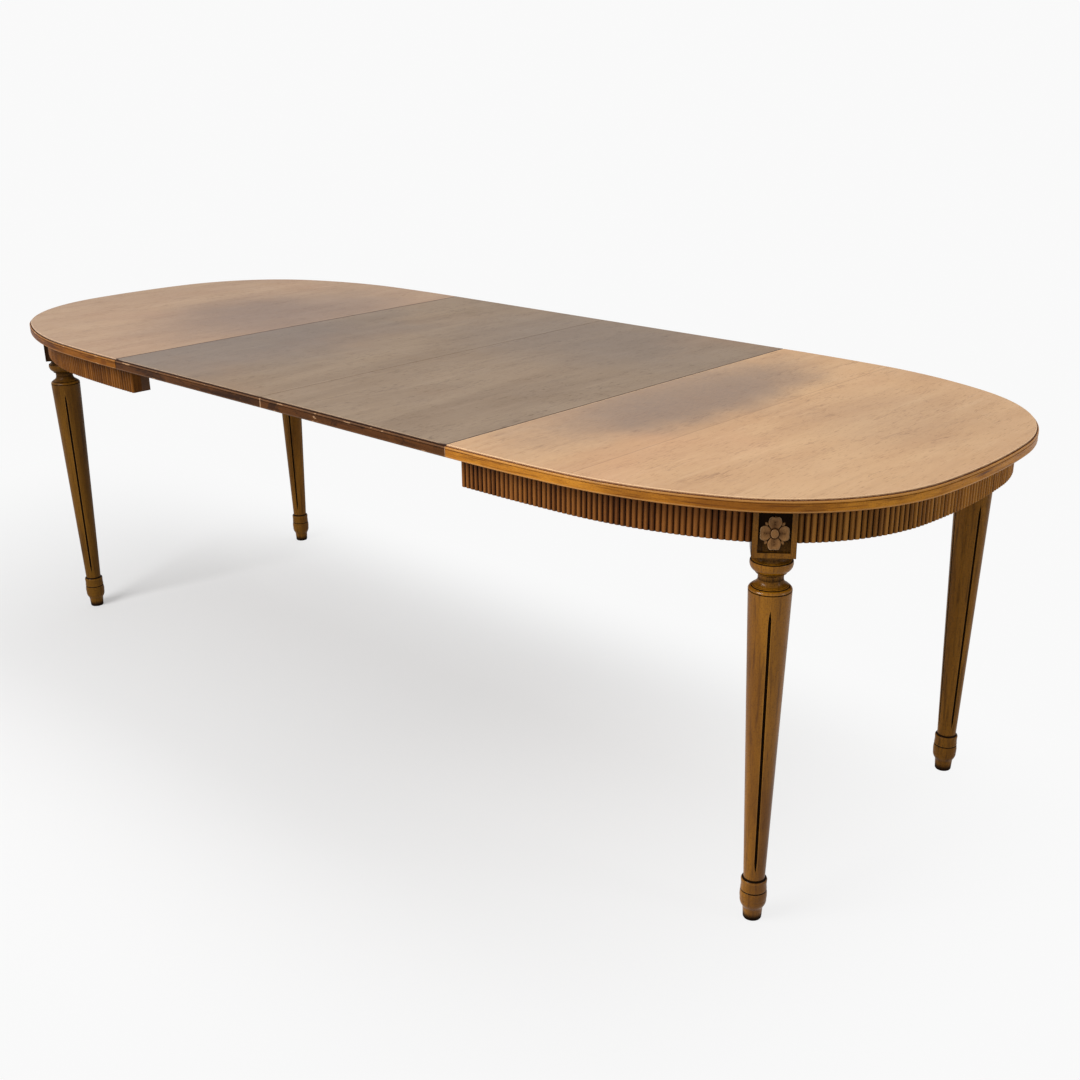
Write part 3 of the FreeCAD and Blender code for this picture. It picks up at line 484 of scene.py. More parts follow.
endTopFinish = {
    "left": veneerFinish("LeftEndVeneer", leftVeneer, leftBlots),
    "right": veneerFinish("RightEndVeneer", rightVeneer, rightBlots)}
leafTopFinish = veneerFinish("LeafVeneer", leafVeneer, leafBlots)
endEdgeFinish = {
    "left": stainedFinish("ShadedLeftEdgeWood", shadedLeftEdgeWood, chips=0.5, patchy=0.7),
    "right": stainedFinish("RightEdgeWood", edgeWood, patchy=0.5, blots=edgeBlots)}
leafEdgeFinish = stainedFinish("LeafEdgeWood", leafEdgeWood, chips=0.6, patchy=0.8, wear=0.45)
apronFinish = {
    "left": stainedFinish("ShadedLeftApronWood", shadedLeftApronWood, mottle=0.3, patchy=0.35),
    "right": stainedFinish("RightApronWood", apronWood, mottle=0.3, patchy=0.5, blots=apronBlots)}
# the lit copy of the apron wood for the end apron
endApronFinish = stainedFinish("LitEndApronWood", litEndApronWood, mottle=0.3, patchy=0.4, blots=apronBlots[2:])
# the front right leg takes the plain leg wood, the others the copies darkened as painted shade
legFinish = {
    "left_front": stainedFinish("ShadedLegWood", shadedLegWood, mottle=0.45, wear=0.25),
    "right_front": stainedFinish("LegWood", legWood, mottle=0.45, wear=0.25)}
legFinish["left_back"] = stainedFinish("ShadedBackLegWood", shadedBackLegWood, mottle=0.45, wear=0.25)
legFinish["right_back"] = legFinish["left_back"]
runnerFinish = barFinish("RunnerWood", bareWood, "x")
crossFinish = barFinish("TieWood", bareWood, "y")
blockFinish = barFinish("BlockWood", stainedBlock, "z")
screwFinish = steelFinish("ScrewSteel")
print("finishes made")

board = dict(arrisInset=0.0035, lippingWide=0.024, easing=0.0012, step=0.005, leafColumns=20)


def boardLevels():
    # each ring from below: inset of the edge, inset of the seam, height, relief at the edge, and relief at
    # the seams of the left end, of the right end, of a leaf towards its end and between the leaves
    ease, arris = board["easing"], board["arrisInset"]
    top = table["height"]
    return [
        (board["lippingWide"], 0, underTop, -0.3, (-1, -1, -1, -1)),
        (board["lippingWide"], 0, layerBottom, -1, (-1, -1, -1, -1)),
        (arris, 0, layerBottom, -0.55, (-1, -1, -1, -1)),
        (arris, 0, top - ease * 1.2, -0.4, (-1, -1, -1, -1)),
        (arris, 0, top - ease, -0.1, (-1, -0.7, -1, -0.5)),
        (arris + ease * 0.3, ease * 0.3, top - ease * 0.3, 0.8, (-1, 0.5, -1, -0.4)),
        (arris + ease, ease, top, 0.5, (-0.8, 0.9, -0.7, -0.2)),
        (arris + ease * 1.5, ease * 1.5, top, 0, (-0.2, 0.6, -0.2, 0)),
        (arris + ease * 3, ease * 3, top, 0, (0, 0, 0, 0)),
    ]


def endBoard(end, seed):
    angles = edgeAngles(-90, 90, board["arrisInset"], board["step"])
    rings = []
    for inset, seam, height, atEdge, atSeam in boardLevels():
        ring = []
        for angle in angles:
            x, y = edgePoint(angle, inset)
            point = onEnd(end, max(x, seam), y, height)
            ring.append((point, point.yxz, atSeam[end == "right"] if x <= seam else atEdge))
        rings.append(ring)
    sweptPiece(
        end + "_top_board", rings, seed, endTopFinish[end], end + "_end", end + "_top_panel")


def leafSpan(side):
    # X where a leaf starts at the middle of the table, and where it stops at its end
    inner = table["seamGap"] / 2 * side
    return inner, inner + (table["leafWidth"] - table["seamGap"]) * side


def leafBoard(leaf, side, seed):
    start, stop = sorted(leafSpan(side))
    columns = board["leafColumns"]
    rings = []
    for inset, seam, height, atEdge, atSeam in boardLevels():
        half = table["halfWidth"] - inset
        low, high = start + seam, stop - seam
        lowSeam, highSeam = atSeam[2:] if side < 0 else reversed(atSeam[2:])
        atEdge = max(-1, atEdge * 2) if atEdge < 0 else atEdge
        ring = []
        for y, numbers in ((-half, range(columns + 1)), (half, range(columns, -1, -1))):
            for number in numbers:
                point = Vector((low + (high - low) * number / columns, y, height))
                ring.append((point, point.yxz, {0: lowSeam, columns: highSeam}.get(number, atEdge)))
        rings.append(ring)
    sweptPiece(leaf + "_board", rings, seed, leafTopFinish, leaf, leaf + "_panel")


endBoard("left", 3.1)
endBoard("right", 0.0)
leafBoard("leaf_1", -1, 7.7)
leafBoard("leaf_2", 1, 5.2)
print("boards made")

moulding = dict(
    roundTop=0.0014, roundUnder=0.003, grooveAt=0.0038, grooveWide=0.0018, grooveDeep=0.0008, hollow=0.0003,
    step=0.005, tickWide=0.0012, leafTick=0.0036)
edgeTicks = {  # relief where an edge starts and stops: dark below 0, pale above 0
    "left": (-1, -1), "right": (-0.4, -0.4), "leaf_1": (5, -1), "leaf_2": (4, 5)}


def mouldingSection():
    # (inset, height, relief) around the lipping, from its inner top corner outwards and down
    m = moulding
    # relief paints the upper rounding pale, worn and lit, the quirk and groove dark with glaze and painted
    # shade, the lower rounding pale as a painted highlight and the underside dark as a painted shadow
    section = [(board["lippingWide"], layerBottom, -1), (m["roundTop"] + 0.0008, layerBottom, -0.7)]
    for turn in range(0, 91, 18):
        out = math.sin(math.radians(turn)) * m["roundTop"]
        up = math.cos(math.radians(turn)) * m["roundTop"]
        section.append((m["roundTop"] - out, layerBottom - m["roundTop"] + up, 0.9 if turn else 0.2))
    groove = layerBottom - m["grooveAt"]
    half = m["grooveWide"] / 2
    section += [(0, groove + half * 1.6, 0.7), (0, groove + half, -0.2), (m["grooveDeep"], groove, -0.6)]
    section += [(0, groove - half, -0.25), (0, groove - half * 2.5, 0)]
    low = underTop + m["roundUnder"]
    high = groove - half * 2.5
    for share in (0.15, 0.4, 0.65, 0.9):
        sag = m["hollow"] * math.sin(math.pi * share)
        section.append((sag, high + (low - high) * share, 0.0))
    for turn in range(0, 91, 18):
        out = math.cos(math.radians(turn)) * m["roundUnder"]
        down = math.sin(math.radians(turn)) * m["roundUnder"]
        section.append((m["roundUnder"] - out, low - down, 0.75 if turn < 50 else -0.5))
    section.append((board["lippingWide"], underTop, -0.8))
    return section


def sweptEdge(name, stations, ticks, spot, seed, finish, body, node):
    # stations are places along the edge with their run; spot turns one, an inset and a height into a point
    columns = []
    for number, (station, run) in enumerate(stations):
        tick = {0: ticks[0], len(stations) - 1: ticks[1]}.get(number)
        columns.append([
            (spot(station, inset, height), (run, height, inset), tick or relief)
            for inset, height, relief in mouldingSection()])
    sweptPiece(name, columns, seed, finish, body, node)


def endEdge(end, seed):
    angles = edgeAngles(-90, 90, 0, moulding["step"])
    beside = angleAt(moulding["tickWide"], 0)
    angles = [-90, beside] + angles[1:-1] + [-beside, 90]
    stations = [(angle, runTo(angle, 0)) for angle in angles]

    def spot(angle, inset, height):
        x, y = edgePoint(angle, inset)
        return onEnd(end, x, y, height)

    sweptEdge(
        end + "_moulded_edge", stations, edgeTicks[end], spot, seed, endEdgeFinish[end], end + "_end",
        end + "_top_edge")


def leafEdge(leaf, side, row, seed):
    inner, outer = leafSpan(side)
    facing = -1 if row == "front" else 1
    tick, columns = moulding["leafTick"], board["leafColumns"]
    shares = [0, tick] + [number / columns for number in range(1, columns)] + [1 - tick, 1]
    stations = [(inner + (outer - inner) * share, table["leafWidth"] * share) for share in shares]

    def spot(x, inset, height):
        return Vector((x, facing * (table["halfWidth"] - inset), height))

    name = "%s_%s" % (leaf, row)
    sweptEdge(
        name + "_moulded_edge", stations, edgeTicks[leaf], spot, seed, leafEdgeFinish, leaf, name + "_edge")


endEdge("left", 2.0)
endEdge("right", 0.5)
for leaf, side in (("leaf_1", -1), ("leaf_2", 1)):
    for row in ("front", "back"):
        leafEdge(leaf, side, row, 4 + side + (row == "back") * 0.7)
print("moulded edges made")

# a leg is drawn about its own axis, with its face towards +X
leg = dict(
    inset=0.0575, angle=53, blockSide=0.066, blockHigh=0.078, blockRound=0.022, frameWide=0.009,
    frameDeep=0.004, easing=0.0007, fluteWide=0.0050, fluteDeep=0.0030, fluteTop=0.5655, fluteBottom=0.096,
    flutePoint=0.019, grooves=(0.0548, 0.0774, 0.5897, 0.5960, 0.6188, 0.6376, 0.6510), grooveWide=0.0012,
    neck=0.5950, shadeUnderBlock=0.28, closeRings=0.0024, farRings=0.026, farStart=0.14, plainColumns=11,
    slit=0.0003, fluteGlazeAndShade=1.6, rimWorn=0.85, capWearAndHighlight=0.7, capHigh=0.011,
    blockRelief=dict(recess=-0.6, shadowAtTop=-0.4, face=-0.34, edge=-0.8, side=-0.1))
blockBottom = underTop - leg["blockHigh"]


def turnedCorners():
    # radius and height from the foot up in mm; a third value is the radius of the arc that leaves the corner
    corners = [
        (14.6, 0), (15.5, 1.6), (16.6, 18, -14), (19.2, 25.5, 20), (22.1, 38, 45), (21.9, 53.4), (21.0, 54.2),
        (21.0, 55.8), (21.7, 56.4), (21.9, 57.6, -60), (21.8, 73.6, 5), (20.2, 77.2), (19.6, 77.6),
        (18.6, 77.8), (17.9, 79.6), (33.72, 588.6), (33.1, 589.2), (33.1, 590.2), (33.8, 590.8, 6.6),
        (29.6, 595.4), (29.2, 595.0), (28.6, 594.8), (28.4, 595.4), (28.4, 596.8), (27.6, 597.4),
        (26.8, 597.4), (26.6, 597.8, -13), (19.7, 607.5), (19.8, 614.5), (19.9, 616.0), (20.6, 617.0),
        (23.9, 617.4), (24.4, 618.0), (24.4, 619.2), (23.8, 619.5), (23.8, 620.2), (25.6, 620.4, 14.5),
        (32.8, 636.4), (32.3, 637.5), (31.1, 637.7), (30.7, 638.3, -9), (26.2, 645.4), (26.0, 650),
        (26.0, 652)]
    return [tuple(value / 1000 for value in corner) for corner in corners]


def arcBetween(one, two, radius, step=0.0009):
    # points after one and before two on the shorter arc; a positive radius bulges outwards on the way up
    one, two = Vector(one), Vector(two)
    chord = two - one
    rise = math.sqrt(max(radius ** 2 - (chord.length / 2) ** 2, 0))
    left = Vector((-chord.y, chord.x)).normalized()
    centre = (one + two) / 2 + left * math.copysign(rise, radius)
    start, stop = one - centre, two - centre
    turn = math.atan2(start.x * stop.y - start.y * stop.x, start.dot(stop))
    count = max(2, round(abs(turn * radius) / step))
    points = []
    for number in range(1, count):
        angle = turn * number / count
        cosine, sine = math.cos(angle), math.sin(angle)
        x = centre.x + start.x * cosine - start.y * sine
        points.append((x, centre.y + start.x * sine + start.y * cosine))
    return points


def turnedProfile():
    corners = turnedCorners()
    profile = []
    for here, there in zip(corners, corners[1:]):
        low, high = here[1], there[1]
        profile.append(here[:2])
        if len(here) == 3:
            profile += arcBetween(here[:2], there[:2], here[2])
        elif high - low > 0.1:  # the shaft, with its rings close together where the flutes end
            close, far = leg["closeRings"], leg["farRings"]
            heights = [low + 0.0006, low + 0.0014, high - 0.0014, high - 0.0006]
            heights += [leg["fluteBottom"] + close * number for number in range(12)]
            heights += [leg["farStart"] + far * number for number in range(15)]
            heights += [leg["fluteTop"] - close * number for number in range(11, -6, -1)]
            for height in sorted(heights):
                share = (height - low) / (high - low)
                profile.append((here[0] + (there[0] - here[0]) * share, height))
    profile.append(corners[-1])
    return profile


def profileRelief(profile, reach=0.0011, full=0.0003):
    # how far each point stands out of the line between its neighbours along the profile, -1 to 1
    runs = [0.0]
    for one, two in zip(profile, profile[1:]):
        runs.append(runs[-1] + (Vector(two) - Vector(one)).length)

    def at(run):
        run = max(0, min(run, runs[-1]))
        number = max(1, next(n for n, value in enumerate(runs) if value >= run))
        share = (run - runs[number - 1]) / max(runs[number] - runs[number - 1], 1e-9)
        return Vector(profile[number - 1]).lerp(Vector(profile[number]), share)

    relief = []
    for spot, run in zip(profile, runs):
        before, after = at(run - reach), at(run + reach)
        chord = (after - before).normalized()
        off = Vector(spot) - before
        relief.append(max(-1, min(1, (off.x * chord.y - off.y * chord.x) / full)))
    # the foot's bottom chamfer is drawn darkest, a dark line along the floor
    relief[0] = relief[1] = -1
    for number, (radius, height) in enumerate(profile):
        # the turning above the shaft's top bead, under the block, is darker: painted shade
        if height > leg["neck"]:
            relief[number] -= leg["shadeUnderBlock"]
        # the quirks at these heights are drawn as dark lines, glaze and painted shade, the last where the
        # turning meets the block
        for groove in leg["grooves"]:
            relief[number] = min(relief[number], -1 + abs(height - groove) / leg["grooveWide"])
    return relief


def flute(height):
    # half width and depth of the flute at a height
    fromEnd = min(height - leg["fluteBottom"], leg["fluteTop"] - height) / leg["flutePoint"]
    share = max(0.0, min(1.0, fromEnd)) ** 0.6
    return leg["fluteWide"] / 2 * share, leg["fluteDeep"] * min(1.0, share * 1.3)


fluteSection = [  # across in half widths, and depth
    (-1.7, 0), (-1.45, 0), (-1.25, 0), (-1, 0), (-0.88, 0.6), (-0.5, 0.95), (0, 1), (0.5, 0.95), (0.88, 0.6),
    (1, 0), (1.25, 0), (1.45, 0), (1.7, 0)]


def legRing(radius, height, relief):
    # one ring of the turning as (x, y, relief), with columns gathered at the four flutes
    half, deep = flute(height)
    full, reach = leg["fluteWide"] / 2, fluteSection[-1][0]
    gap = math.asin(reach * full / radius)
    onCap = 0 <= height - leg["fluteTop"] < leg["capHigh"]
    ring = []
    for quarter in range(4):
        for share, cut in fluteSection:
            wide = share * (full if abs(share) == reach else max(half, leg["slit"]))
            angle = math.radians(90 * quarter) + math.asin(wide / radius)
            here = radius - cut * deep
            # the flute's lips and top end are paler, wear and painted highlight, and its hollow darker, glaze
            # and painted shade
            wearAndHighlight = leg["rimWorn"] if 1 <= abs(share) < 1.4 and half > leg["slit"] else 0
            if abs(share) < 1.1 and onCap:
                wearAndHighlight = leg["capWearAndHighlight"]
            glazeAndShadeAmount = leg["fluteGlazeAndShade"] * cut * min(1, deep / leg["fluteDeep"])
            ring.append((here * math.cos(angle), here * math.sin(angle), relief - glazeAndShadeAmount + wearAndHighlight))
        for number in range(1, leg["plainColumns"] + 1):
            share = number / (leg["plainColumns"] + 1)
            angle = math.radians(90 * quarter) + gap + (math.pi / 2 - 2 * gap) * share
            ring.append((radius * math.cos(angle), radius * math.sin(angle), relief))
    return ring


def addTurning(form):
    profile = turnedProfile()
    columns = []
    for (radius, height), stand in zip(profile, profileRelief(profile)):
        ring = legRing(radius, height, stand)
        columns.append([(Vector((x, y, height)), (height, y, x), relief) for x, y, relief in ring])
    form.sweep(columns)


def addBlock(form):
    # square block: framed front with a recess that is open at the top, and a round back at the bottom
    half, top = leg["blockSide"] / 2, underTop
    wide, floor = half - leg["frameWide"], half - leg["frameDeep"]
    rail = blockBottom + leg["frameWide"]
    work = bmesh.new()

    def pair(x, y, z):
        return work.verts.new((x, -y, z)), work.verts.new((x, y, z))

    back = [(half, blockBottom), (-half + leg["blockRound"], blockBottom)]
    for turn in range(10, 91, 10):
        away = leg["blockRound"] * (1 - math.sin(math.radians(turn)))
        back.append((-half + away, blockBottom + leg["blockRound"] * (1 - math.cos(math.radians(turn)))))
    left, right = [list(side) for side in zip(*[pair(x, half, z) for x, z in back + [(-half, top)]])]
    outerLeft, outerRight = pair(half, half, top)
    innerLeft, innerRight = pair(half, wide, top)
    railLeft, railRight = pair(half, wide, rail)
    deepLeft, deepRight = pair(floor, wide, top)
    footLeft, footRight = pair(floor, wide, rail)
    sides = [[left[n], left[n + 1], right[n + 1], right[n]] for n in range(len(left) - 1)]
    sides += [
        left + [outerLeft], right[::-1] + [outerRight], [left[0], railLeft, innerLeft, outerLeft],
        [right[0], outerRight, innerRight, railRight], [left[0], right[0], railRight, railLeft],
        [railLeft, footLeft, deepLeft, innerLeft], [railRight, innerRight, deepRight, footRight],
        [railLeft, railRight, footRight, footLeft], [footLeft, footRight, deepRight, deepLeft],
        [left[-1], outerLeft, innerLeft, deepLeft, deepRight, innerRight, outerRight, right[-1]]]
    for side in sides:
        work.faces.new(side)
    bmesh.ops.recalc_face_normals(work, faces=work.faces)
    near = 0.0001
    crisp = [
        edge for edge in work.edges if edge.calc_face_angle(0) > 0.6 and edge.is_convex
        and min(vert.co.z for vert in edge.verts) < top - near]
    bmesh.ops.bevel(work, geom=crisp, offset=leg["easing"], segments=2, affect="EDGES", profile=0.6)
    points = [vert.co.copy() for vert in work.verts]
    work.verts.index_update()
    faces = [[vert.index for vert in face.verts] for face in work.faces]
    work.free()
    # the recess is dark with glaze and painted shade and darkest at its top, a painted shadow under the top;
    # the face's eased edges are dark lines of painted shade
    relief, proud = [], leg["blockRelief"]
    for x, y, z in points:
        if abs(y) < wide + near and z > rail - near and x < half - 0.0012:
            relief.append(proud["recess"] + proud["shadowAtTop"] * max(0, (z - rail) / (top - rail)))
        elif x > half - 0.0009:
            relief.append(proud["face"] if x > half - near else proud["edge"])
        else:
            relief.append(proud["side"])
    form.add(points, faces, [point.zyx for point in points], relief)


def onLeg(end, angle, point):
    # from the leg's own frame to the table's
    x, y, z = point
    out = direction(angle)
    foot = edgePoint(angle, leg["inset"])
    return onEnd(end, foot.x + out.x * x - out.y * y, foot.y + out.y * x + out.x * y, z)


def standLeg(end, row, angle, seed):
    form = Form(seed)
    addTurning(form)
    addBlock(form)
    form.points = [onLeg(end, angle, point) for point in form.points]
    name = "%s_%s" % (end, row)
    makePiece(name + "_leg_turned", form, legFinish[name], end + "_end", name + "_leg")


flower = dict(high=0.053, wide=0.0447, lift=0.003, button=0.0070, buttonHigh=0.0046)
petals = [  # turn, distance from the middle, radius, thickness, width to length, lobes: petal, nub and sepal
    (0, 0.0156, 0.0107, 0.0037, 1.12, 1),
    (0, 0.0251, 0.0018, 0.00185, 0.8, 0),
    (45, 0.0205, 0.0034, 0.001665, 0.7, 0),
]
carving = dict(  # height, middle and width of a bell: the first three over the degrees from the petal's tip
    lobe=(0.10, 40, 18), notch=(0.15, 0, 14), waist=(0.10, 125, 30), crease=(0.16, 0, 0.0009))
rosetteMiddle = blockBottom + leg["frameWide"] + flower["lift"] + flower["high"] / 2
recessFloor = leg["blockSide"] / 2 - leg["frameDeep"]


def onRecess(x, y, z):
    # the flower is drawn round and squeezed to its width
    return Vector((recessFloor + x, y * flower["wide"] / flower["high"], rosetteMiddle + z))


def bell(value, high, middle, wide):
    return high * math.exp(-((value - middle) / wide) ** 2)


def addPetal(form, turn, away, petal, thick, slim, lobes):
    # a cupped round petal with two lobes, a crease and a pale rim, whose relief paints the rim pale as wear
    # and highlight and the inside, crease and foot dark as glaze and painted shade; without lobes it is a low
    # plain dome
    rings, around = 9, 44
    points, relief = [(thick * 0.5, 0, away)], [-0.3 if lobes else 0.5]
    for ring in range(1, rings + 1):
        share = ring / rings
        for number in range(around):
            angle = 2 * math.pi * number / around
            aside = math.degrees(min(angle, 2 * math.pi - angle))
            bulge = bell(aside, *carving["lobe"]) - bell(aside, *carving["notch"])
            reach = petal * (1 + lobes * bulge - lobes * bell(aside, *carving["waist"])) * share
            across = reach * math.sin(angle) * slim
            cup = 0.42 + 0.58 * share ** 2.6 * (0.55 + 0.45 * math.cos(angle))
            crease = lobes * bell(across, *carving["crease"])
            height = (cup - crease) * (1 - 0.5 * share ** 14)
            if not lobes:
                height = 1 - 0.6 * share ** 3
            points.append((thick * height, across, away + reach * math.cos(angle)))
            ribs = bell(abs(across) / petal, 0.35, 0.45 * share, 0.08) * (1 - share)
            # pale rim as wear and painted highlight, darker inside and foot as painted shade
            relief.append(2.1 * cup - 1.3 - crease - 0.5 * ribs if lobes else 0.1 - 0.6 * share)
    points += [(0, y, z) for x, y, z in points[-around:]]
    relief += [-1.0] * around
    faces = [[0, 1 + number, 1 + (number + 1) % around] for number in range(around)]
    faces += ringFaces(rings + 1, around, 1) + [list(range(len(points) - around, len(points)))]
    cosine, sine = math.cos(math.radians(turn)), math.sin(math.radians(turn))
    placed = [onRecess(x, y * cosine - z * sine, y * sine + z * cosine) for x, y, z in points]
    form.add(placed, faces, [point.zyx for point in placed], relief)


def addButton(form):
    # flat button in a ring darkened with glaze and painted shade; radius and height are shares of the
    # button's
    profile = [
        (1.3, 0, -1), (1.3, 0.5, -0.6), (1.16, 0.55, -0.9), (1.04, 0.4, -1), (1, 0.7, 0.1), (0.93, 0.86, 0.5),
        (0.75, 0.95, 0.2), (0.4, 0.98, -0.15), (0.008, 1, -0.1)]
    around = 32
    columns = []
    for share, rise, relief in profile:
        column = []
        for number in range(around):
            angle = 2 * math.pi * number / around
            radius, high = flower["button"] * share, flower["buttonHigh"] * rise
            point = onRecess(high, radius * math.cos(angle), radius * math.sin(angle))
            column.append((point, point.zyx, relief))
        columns.append(column)
    form.sweep(columns)


def carveRosette(end, row, angle, seed):
    form = Form(seed)
    for quarter in range(4):
        for turn, *shape in petals:
            addPetal(form, turn + 90 * quarter, *shape)
    addButton(form)
    form.points = [onLeg(end, angle, point) for point in form.points]
    name = "%s_%s_rosette" % (end, row)
    makePiece(name + "_carving", form, rosetteFinish, end + "_end", name, sharp=50)


rosetteWood = dict(
    legWood, light=tone(150, 110, 64), deep=tone(122, 82, 44), line=tone(84, 54, 26), glazeAndShade=tone(60, 34, 15),
    wearAndHighlight=tone(196, 164, 126), rough=0.46, lacquer=0.2)
rosetteFinish = stainedFinish("RosetteWood", rosetteWood, mottle=0.35)

# levels are the reeds' middle and the heights where the painted shadow under the top's overhang starts and is
# darkest; glazeAndShadeAmount sets per end how dark the valleys and how pale the crests are, lower on the
# left where the light runs along the reeds
apron = dict(
    inset=0.033, thick=0.022, high=0.057, reedPitch=0.0098, reedDepth=0.003, easing=0.0006, perReed=10,
    levels=(0.020, 0.041, 0.050), grainStep=0.013, depthRange=(0.94, 1), tintRange=(-0.45, 0.2),
    glazeAndShadeAmount={"left": 0.5, "right": 1.0}, endGlazeAndShade=(0.75, 0.3))


def angleWhere(test, low, high):
    # angle at which the rising function test passes zero
    for number in range(40):
        middle = (low + high) / 2
        low, high = (middle, high) if test(middle) < 0 else (low, middle)
    return (low + high) / 2


def stopAtBlock(angle, side, inset):
    # the angle at which the apron at an inset meets the leg block's side
    out = direction(angle)
    along = Vector((-out.y, out.x))
    face = edgePoint(angle, leg["inset"]) + along * side * leg["blockSide"] / 2
    low, high = (angle, min(angle + 40, 90)) if side > 0 else (max(angle - 40, -90), angle)
    return angleWhere(lambda here: (edgePoint(here, inset) - face).dot(along), low, high)


def bendApron(name, end, startLeg, stopLeg, seed):
    # between two legs, or between a leg and the seam where the leg is None
    rightEnd = name == "right_end_apron"
    valley = apron["inset"] + apron["reedDepth"]
    inner = apron["inset"] + apron["thick"]
    bottom, ease = underTop - apron["high"], apron["easing"]
    middle, shadeStart, shade = [bottom + level for level in apron["levels"]]
    start = -90 if startLeg is None else stopAtBlock(startLeg, 1, valley)
    stop = 90 if stopLeg is None else stopAtBlock(stopLeg, -1, valley)
    first, last = runTo(start, valley), runTo(stop, valley)
    count = round((last - first) / apron["reedPitch"])
    pitch = (last - first) / count
    columns = []
    for number in range(count * apron["perReed"] + 1):
        reed, phase = divmod(number, apron["perReed"])
        phase /= apron["perReed"]
        if phase == 0:
            deep = apron["reedDepth"] * random.uniform(*apron["depthRange"])
            tint = random.uniform(*apron["tintRange"])
        radius = (pitch ** 2 / 4 + deep ** 2) / (2 * deep)
        rise = math.sqrt(max(radius ** 2 - ((phase - 0.5) * pitch) ** 2, 0)) - (radius - deep)
        run = first + pitch * number / apron["perReed"]
        angle = angleAt(run, valley)
        inset = valley - rise
        # dark valleys are glaze and painted shade, pale crests wear and painted highlight
        proud = 2.2 * rise / deep - 1.2
        inReeds = 0 < number < count * apron["perReed"]
        glazeAndShadeAmount = apron["glazeAndShadeAmount"][end]
        # on the end apron the valleys and crests fade from the front towards the back
        if rightEnd:
            glazeAndShadeAmount *= apron["endGlazeAndShade"][0] - apron["endGlazeAndShade"][1] * angle / leg["angle"]
        edge = (max(-1.0, proud) if inReeds else -0.35) * glazeAndShadeAmount + tint
        # from shadeStart up to the top the reeds are painted darker, a shadow under the top's overhang
        section = [
            (inset + ease, bottom, edge - 0.2), (inset, bottom + ease, edge), (inset, middle, edge),
            (inset, shadeStart, edge), (inset, shade, edge - 0.5), (inset, underTop, edge - 1),
            (inner, underTop, 0), (inner, bottom + ease, 0), (inner - ease, bottom, 0)]
        column = []
        for deepness, height, relief in section:
            x, y = edgePoint(angle, deepness)
            grain = (height + reed * apron["grainStep"], run, deepness)
            column.append((onEnd(end, x, y, height), grain, relief))
        columns.append(column)
    finish = endApronFinish if rightEnd else apronFinish[end]
    sweptPiece(name + "_reeded", columns, seed, finish, end + "_end", name)


for end, outward in (("left", -1), ("right", 1)):
    for row, side in (("front", -1), ("back", 1)):
        angle = leg["angle"] * side * outward
        seed = 1.3 * outward + 0.6 * side + 3
        standLeg(end, row, angle, seed)
        carveRosette(end, row, angle, seed + 0.2)
        between = (None, angle) if angle < 0 else (angle, None)
        bendApron("%s_%s_apron" % (end, row), end, *between, seed)
    bendApron(end + "_end_apron", end, -leg["angle"], leg["angle"], 2 + outward)
print("legs, rosettes and aprons made")

# the runners, battens, blocks and screws stay as they are, with their own finish
innerFinishes = [
    (("_runner", "_slide", "_cleat"), runnerFinish), ("_tie", crossFinish), ("_blocks", blockFinish),
    ("_screws", screwFinish)]
for name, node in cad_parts.items():
    for endings, finish in innerFinishes:
        if name.endswith(endings):
            for slot in node.material_slots:
                slot.material = finish
print("runners finished")

studio = dict(  # the table's shade shows between the lines that shadeX and shadeY give as (bright, dark)
    floorTone=0.75, backTone=0.95, floorSize=14.0, skyStrength=0.40, lift=0.35,
    shadeX=((-2.4, -0.8), (1.5, 0.0)), shadeY=((-1.4, -0.6), (0.6, -0.05)))


def grey(value):
    return value, value, value, 1


def makeFloor():
    half = studio["floorSize"] / 2
    mesh = bpy.data.meshes.new("floor")
    corners = [(-half, -half, 0), (half, -half, 0), (half, half, 0), (-half, half, 0)]
    mesh.from_pydata(corners, [], [(0, 1, 2, 3)])
    floor = bpy.data.objects.new("floor", mesh)
    bpy.context.scene.collection.objects.link(floor)
    constants = {"Roughness": 0.9, "Specular IOR Level": 0.1, "Base Color": grey(studio["floorTone"])}
    paper = Finish("StudioFloor", constants)
    # the floor glows for the eye outside these lines, covering the lamps' shadows there with painted light,
    # and lift is the share of glow that brightens the shade inside them
    shaded = 1
    for letter, sides in (("X", studio["shadeX"]), ("Y", studio["shadeY"])):
        for bright, dark in sides:
            shaded = paper.fade(paper.axis(letter), bright, dark) * shaded
    glow = paper.node("ShaderNodeEmission", None, {"Color": grey(studio["backTone"]), "Strength": 1.0})
    factor = paper.lookedAt() * (1 - shaded * (1 - studio["lift"]))
    paper.blend(factor, paper.shader, glow, "Material Output")
    mesh.materials.append(paper.material)


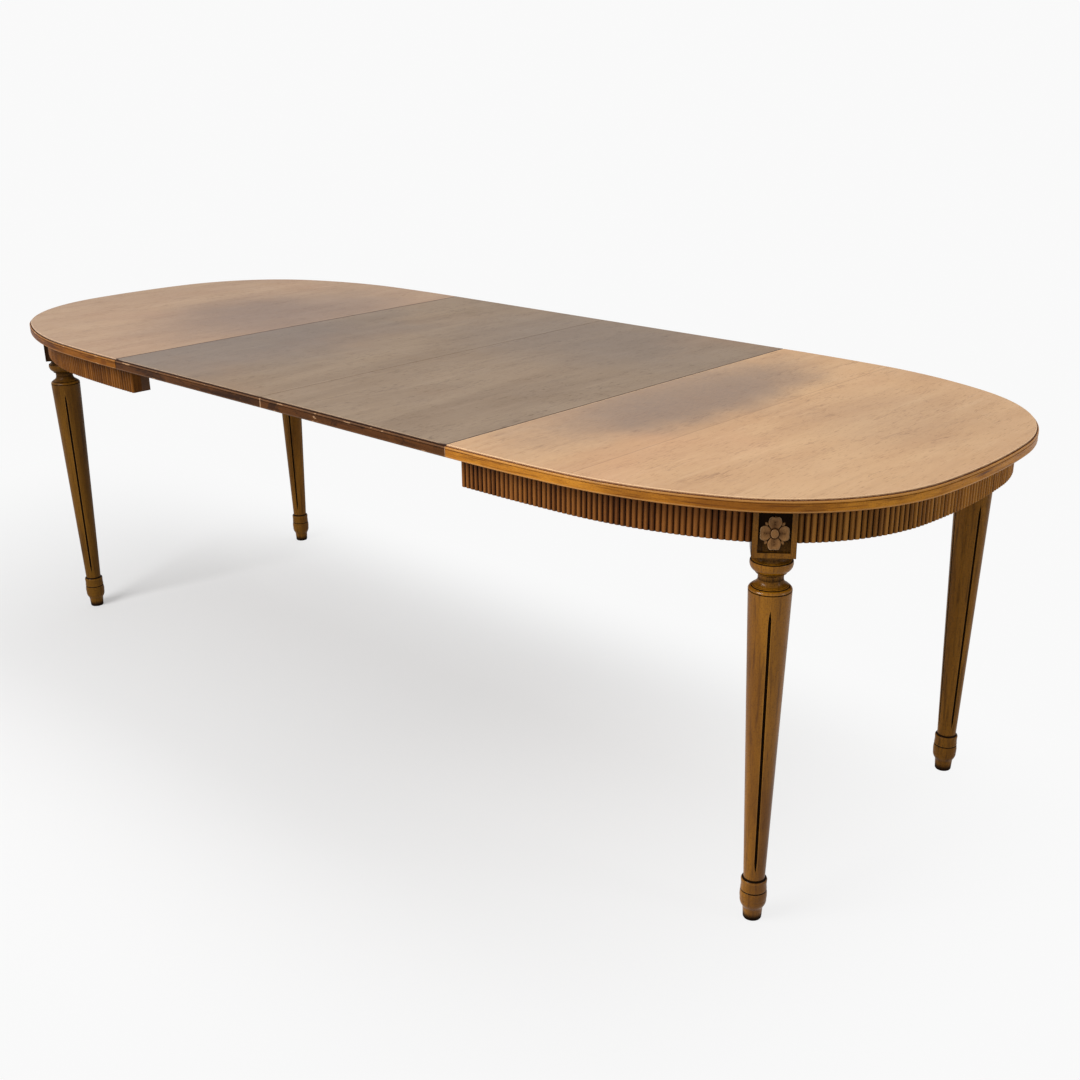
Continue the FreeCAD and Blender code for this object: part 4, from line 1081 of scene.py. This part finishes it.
def makeSky():
    world = bpy.data.worlds.new("Studio")
    bpy.context.scene.world = world
    world.use_nodes = True
    sky = Shading(world.node_tree)
    light = sky.tree.nodes["Background"]
    light.inputs["Color"].default_value = grey(1)
    light.inputs["Strength"].default_value = studio["skyStrength"]
    seen = sky.node("ShaderNodeBackground", None, {"Color": grey(studio["backTone"])})
    sky.blend(sky.lookedAt(), light, seen, "World Output")


def hangLamp(name, place, aim, size, watts):
    data = bpy.data.lights.new(name, "AREA")
    data.shape = "RECTANGLE"
    data.size, data.size_y = size
    data.energy = watts
    lamp = bpy.data.objects.new(name, data)
    bpy.context.scene.collection.objects.link(lamp)
    lamp.location = place
    lamp.rotation_euler = (Vector(aim) - Vector(place)).to_track_quat("-Z", "Y").to_euler()


lamps = [  # name, place, aim, size, watts
    ("overhead", (-0.1, 1.1, 3.3), (0, 0, 0.4), (3.6, 2.4), 33),
    ("window", (-0.6, -3.2, 2.9), (0.4, 0, 0.5), (2.0, 1.6), 146),
    ("fill", (4.2, 0.7, 1.8), (0.6, 0, 0.5), (1.0, 2.0), 17),
]
makeFloor()
makeSky()
for name, place, aim, size, watts in lamps:
    hangLamp(name, place, aim, size, watts)

view = dict(
    place=(2.0768, -1.9577, 1.355), yaw=-42.215, pitch=21.910, roll=-0.372, focal=1357.65, axis=(560, 590))
imageWide, filmWide = 1080, 36.0
camera = bpy.data.objects.new("camera", bpy.data.cameras.new("camera"))
bpy.context.scene.collection.objects.link(camera)
camera.data.sensor_width = filmWide
camera.data.lens = view["focal"] / imageWide * filmWide
camera.data.shift_x = (imageWide / 2 - view["axis"][0]) / imageWide
camera.data.shift_y = (view["axis"][1] - imageWide / 2) / imageWide
camera.matrix_world = (
    Matrix.Translation(view["place"])
    @ Matrix.Rotation(math.radians(-view["yaw"]), 4, "Z")
    @ Matrix.Rotation(math.radians(90 - view["pitch"]), 4, "X")
    @ Matrix.Rotation(math.radians(view["roll"]), 4, "Z"))
bpy.context.scene.camera = camera
bpy.context.scene.view_settings.view_transform = "Standard"
print("studio made")
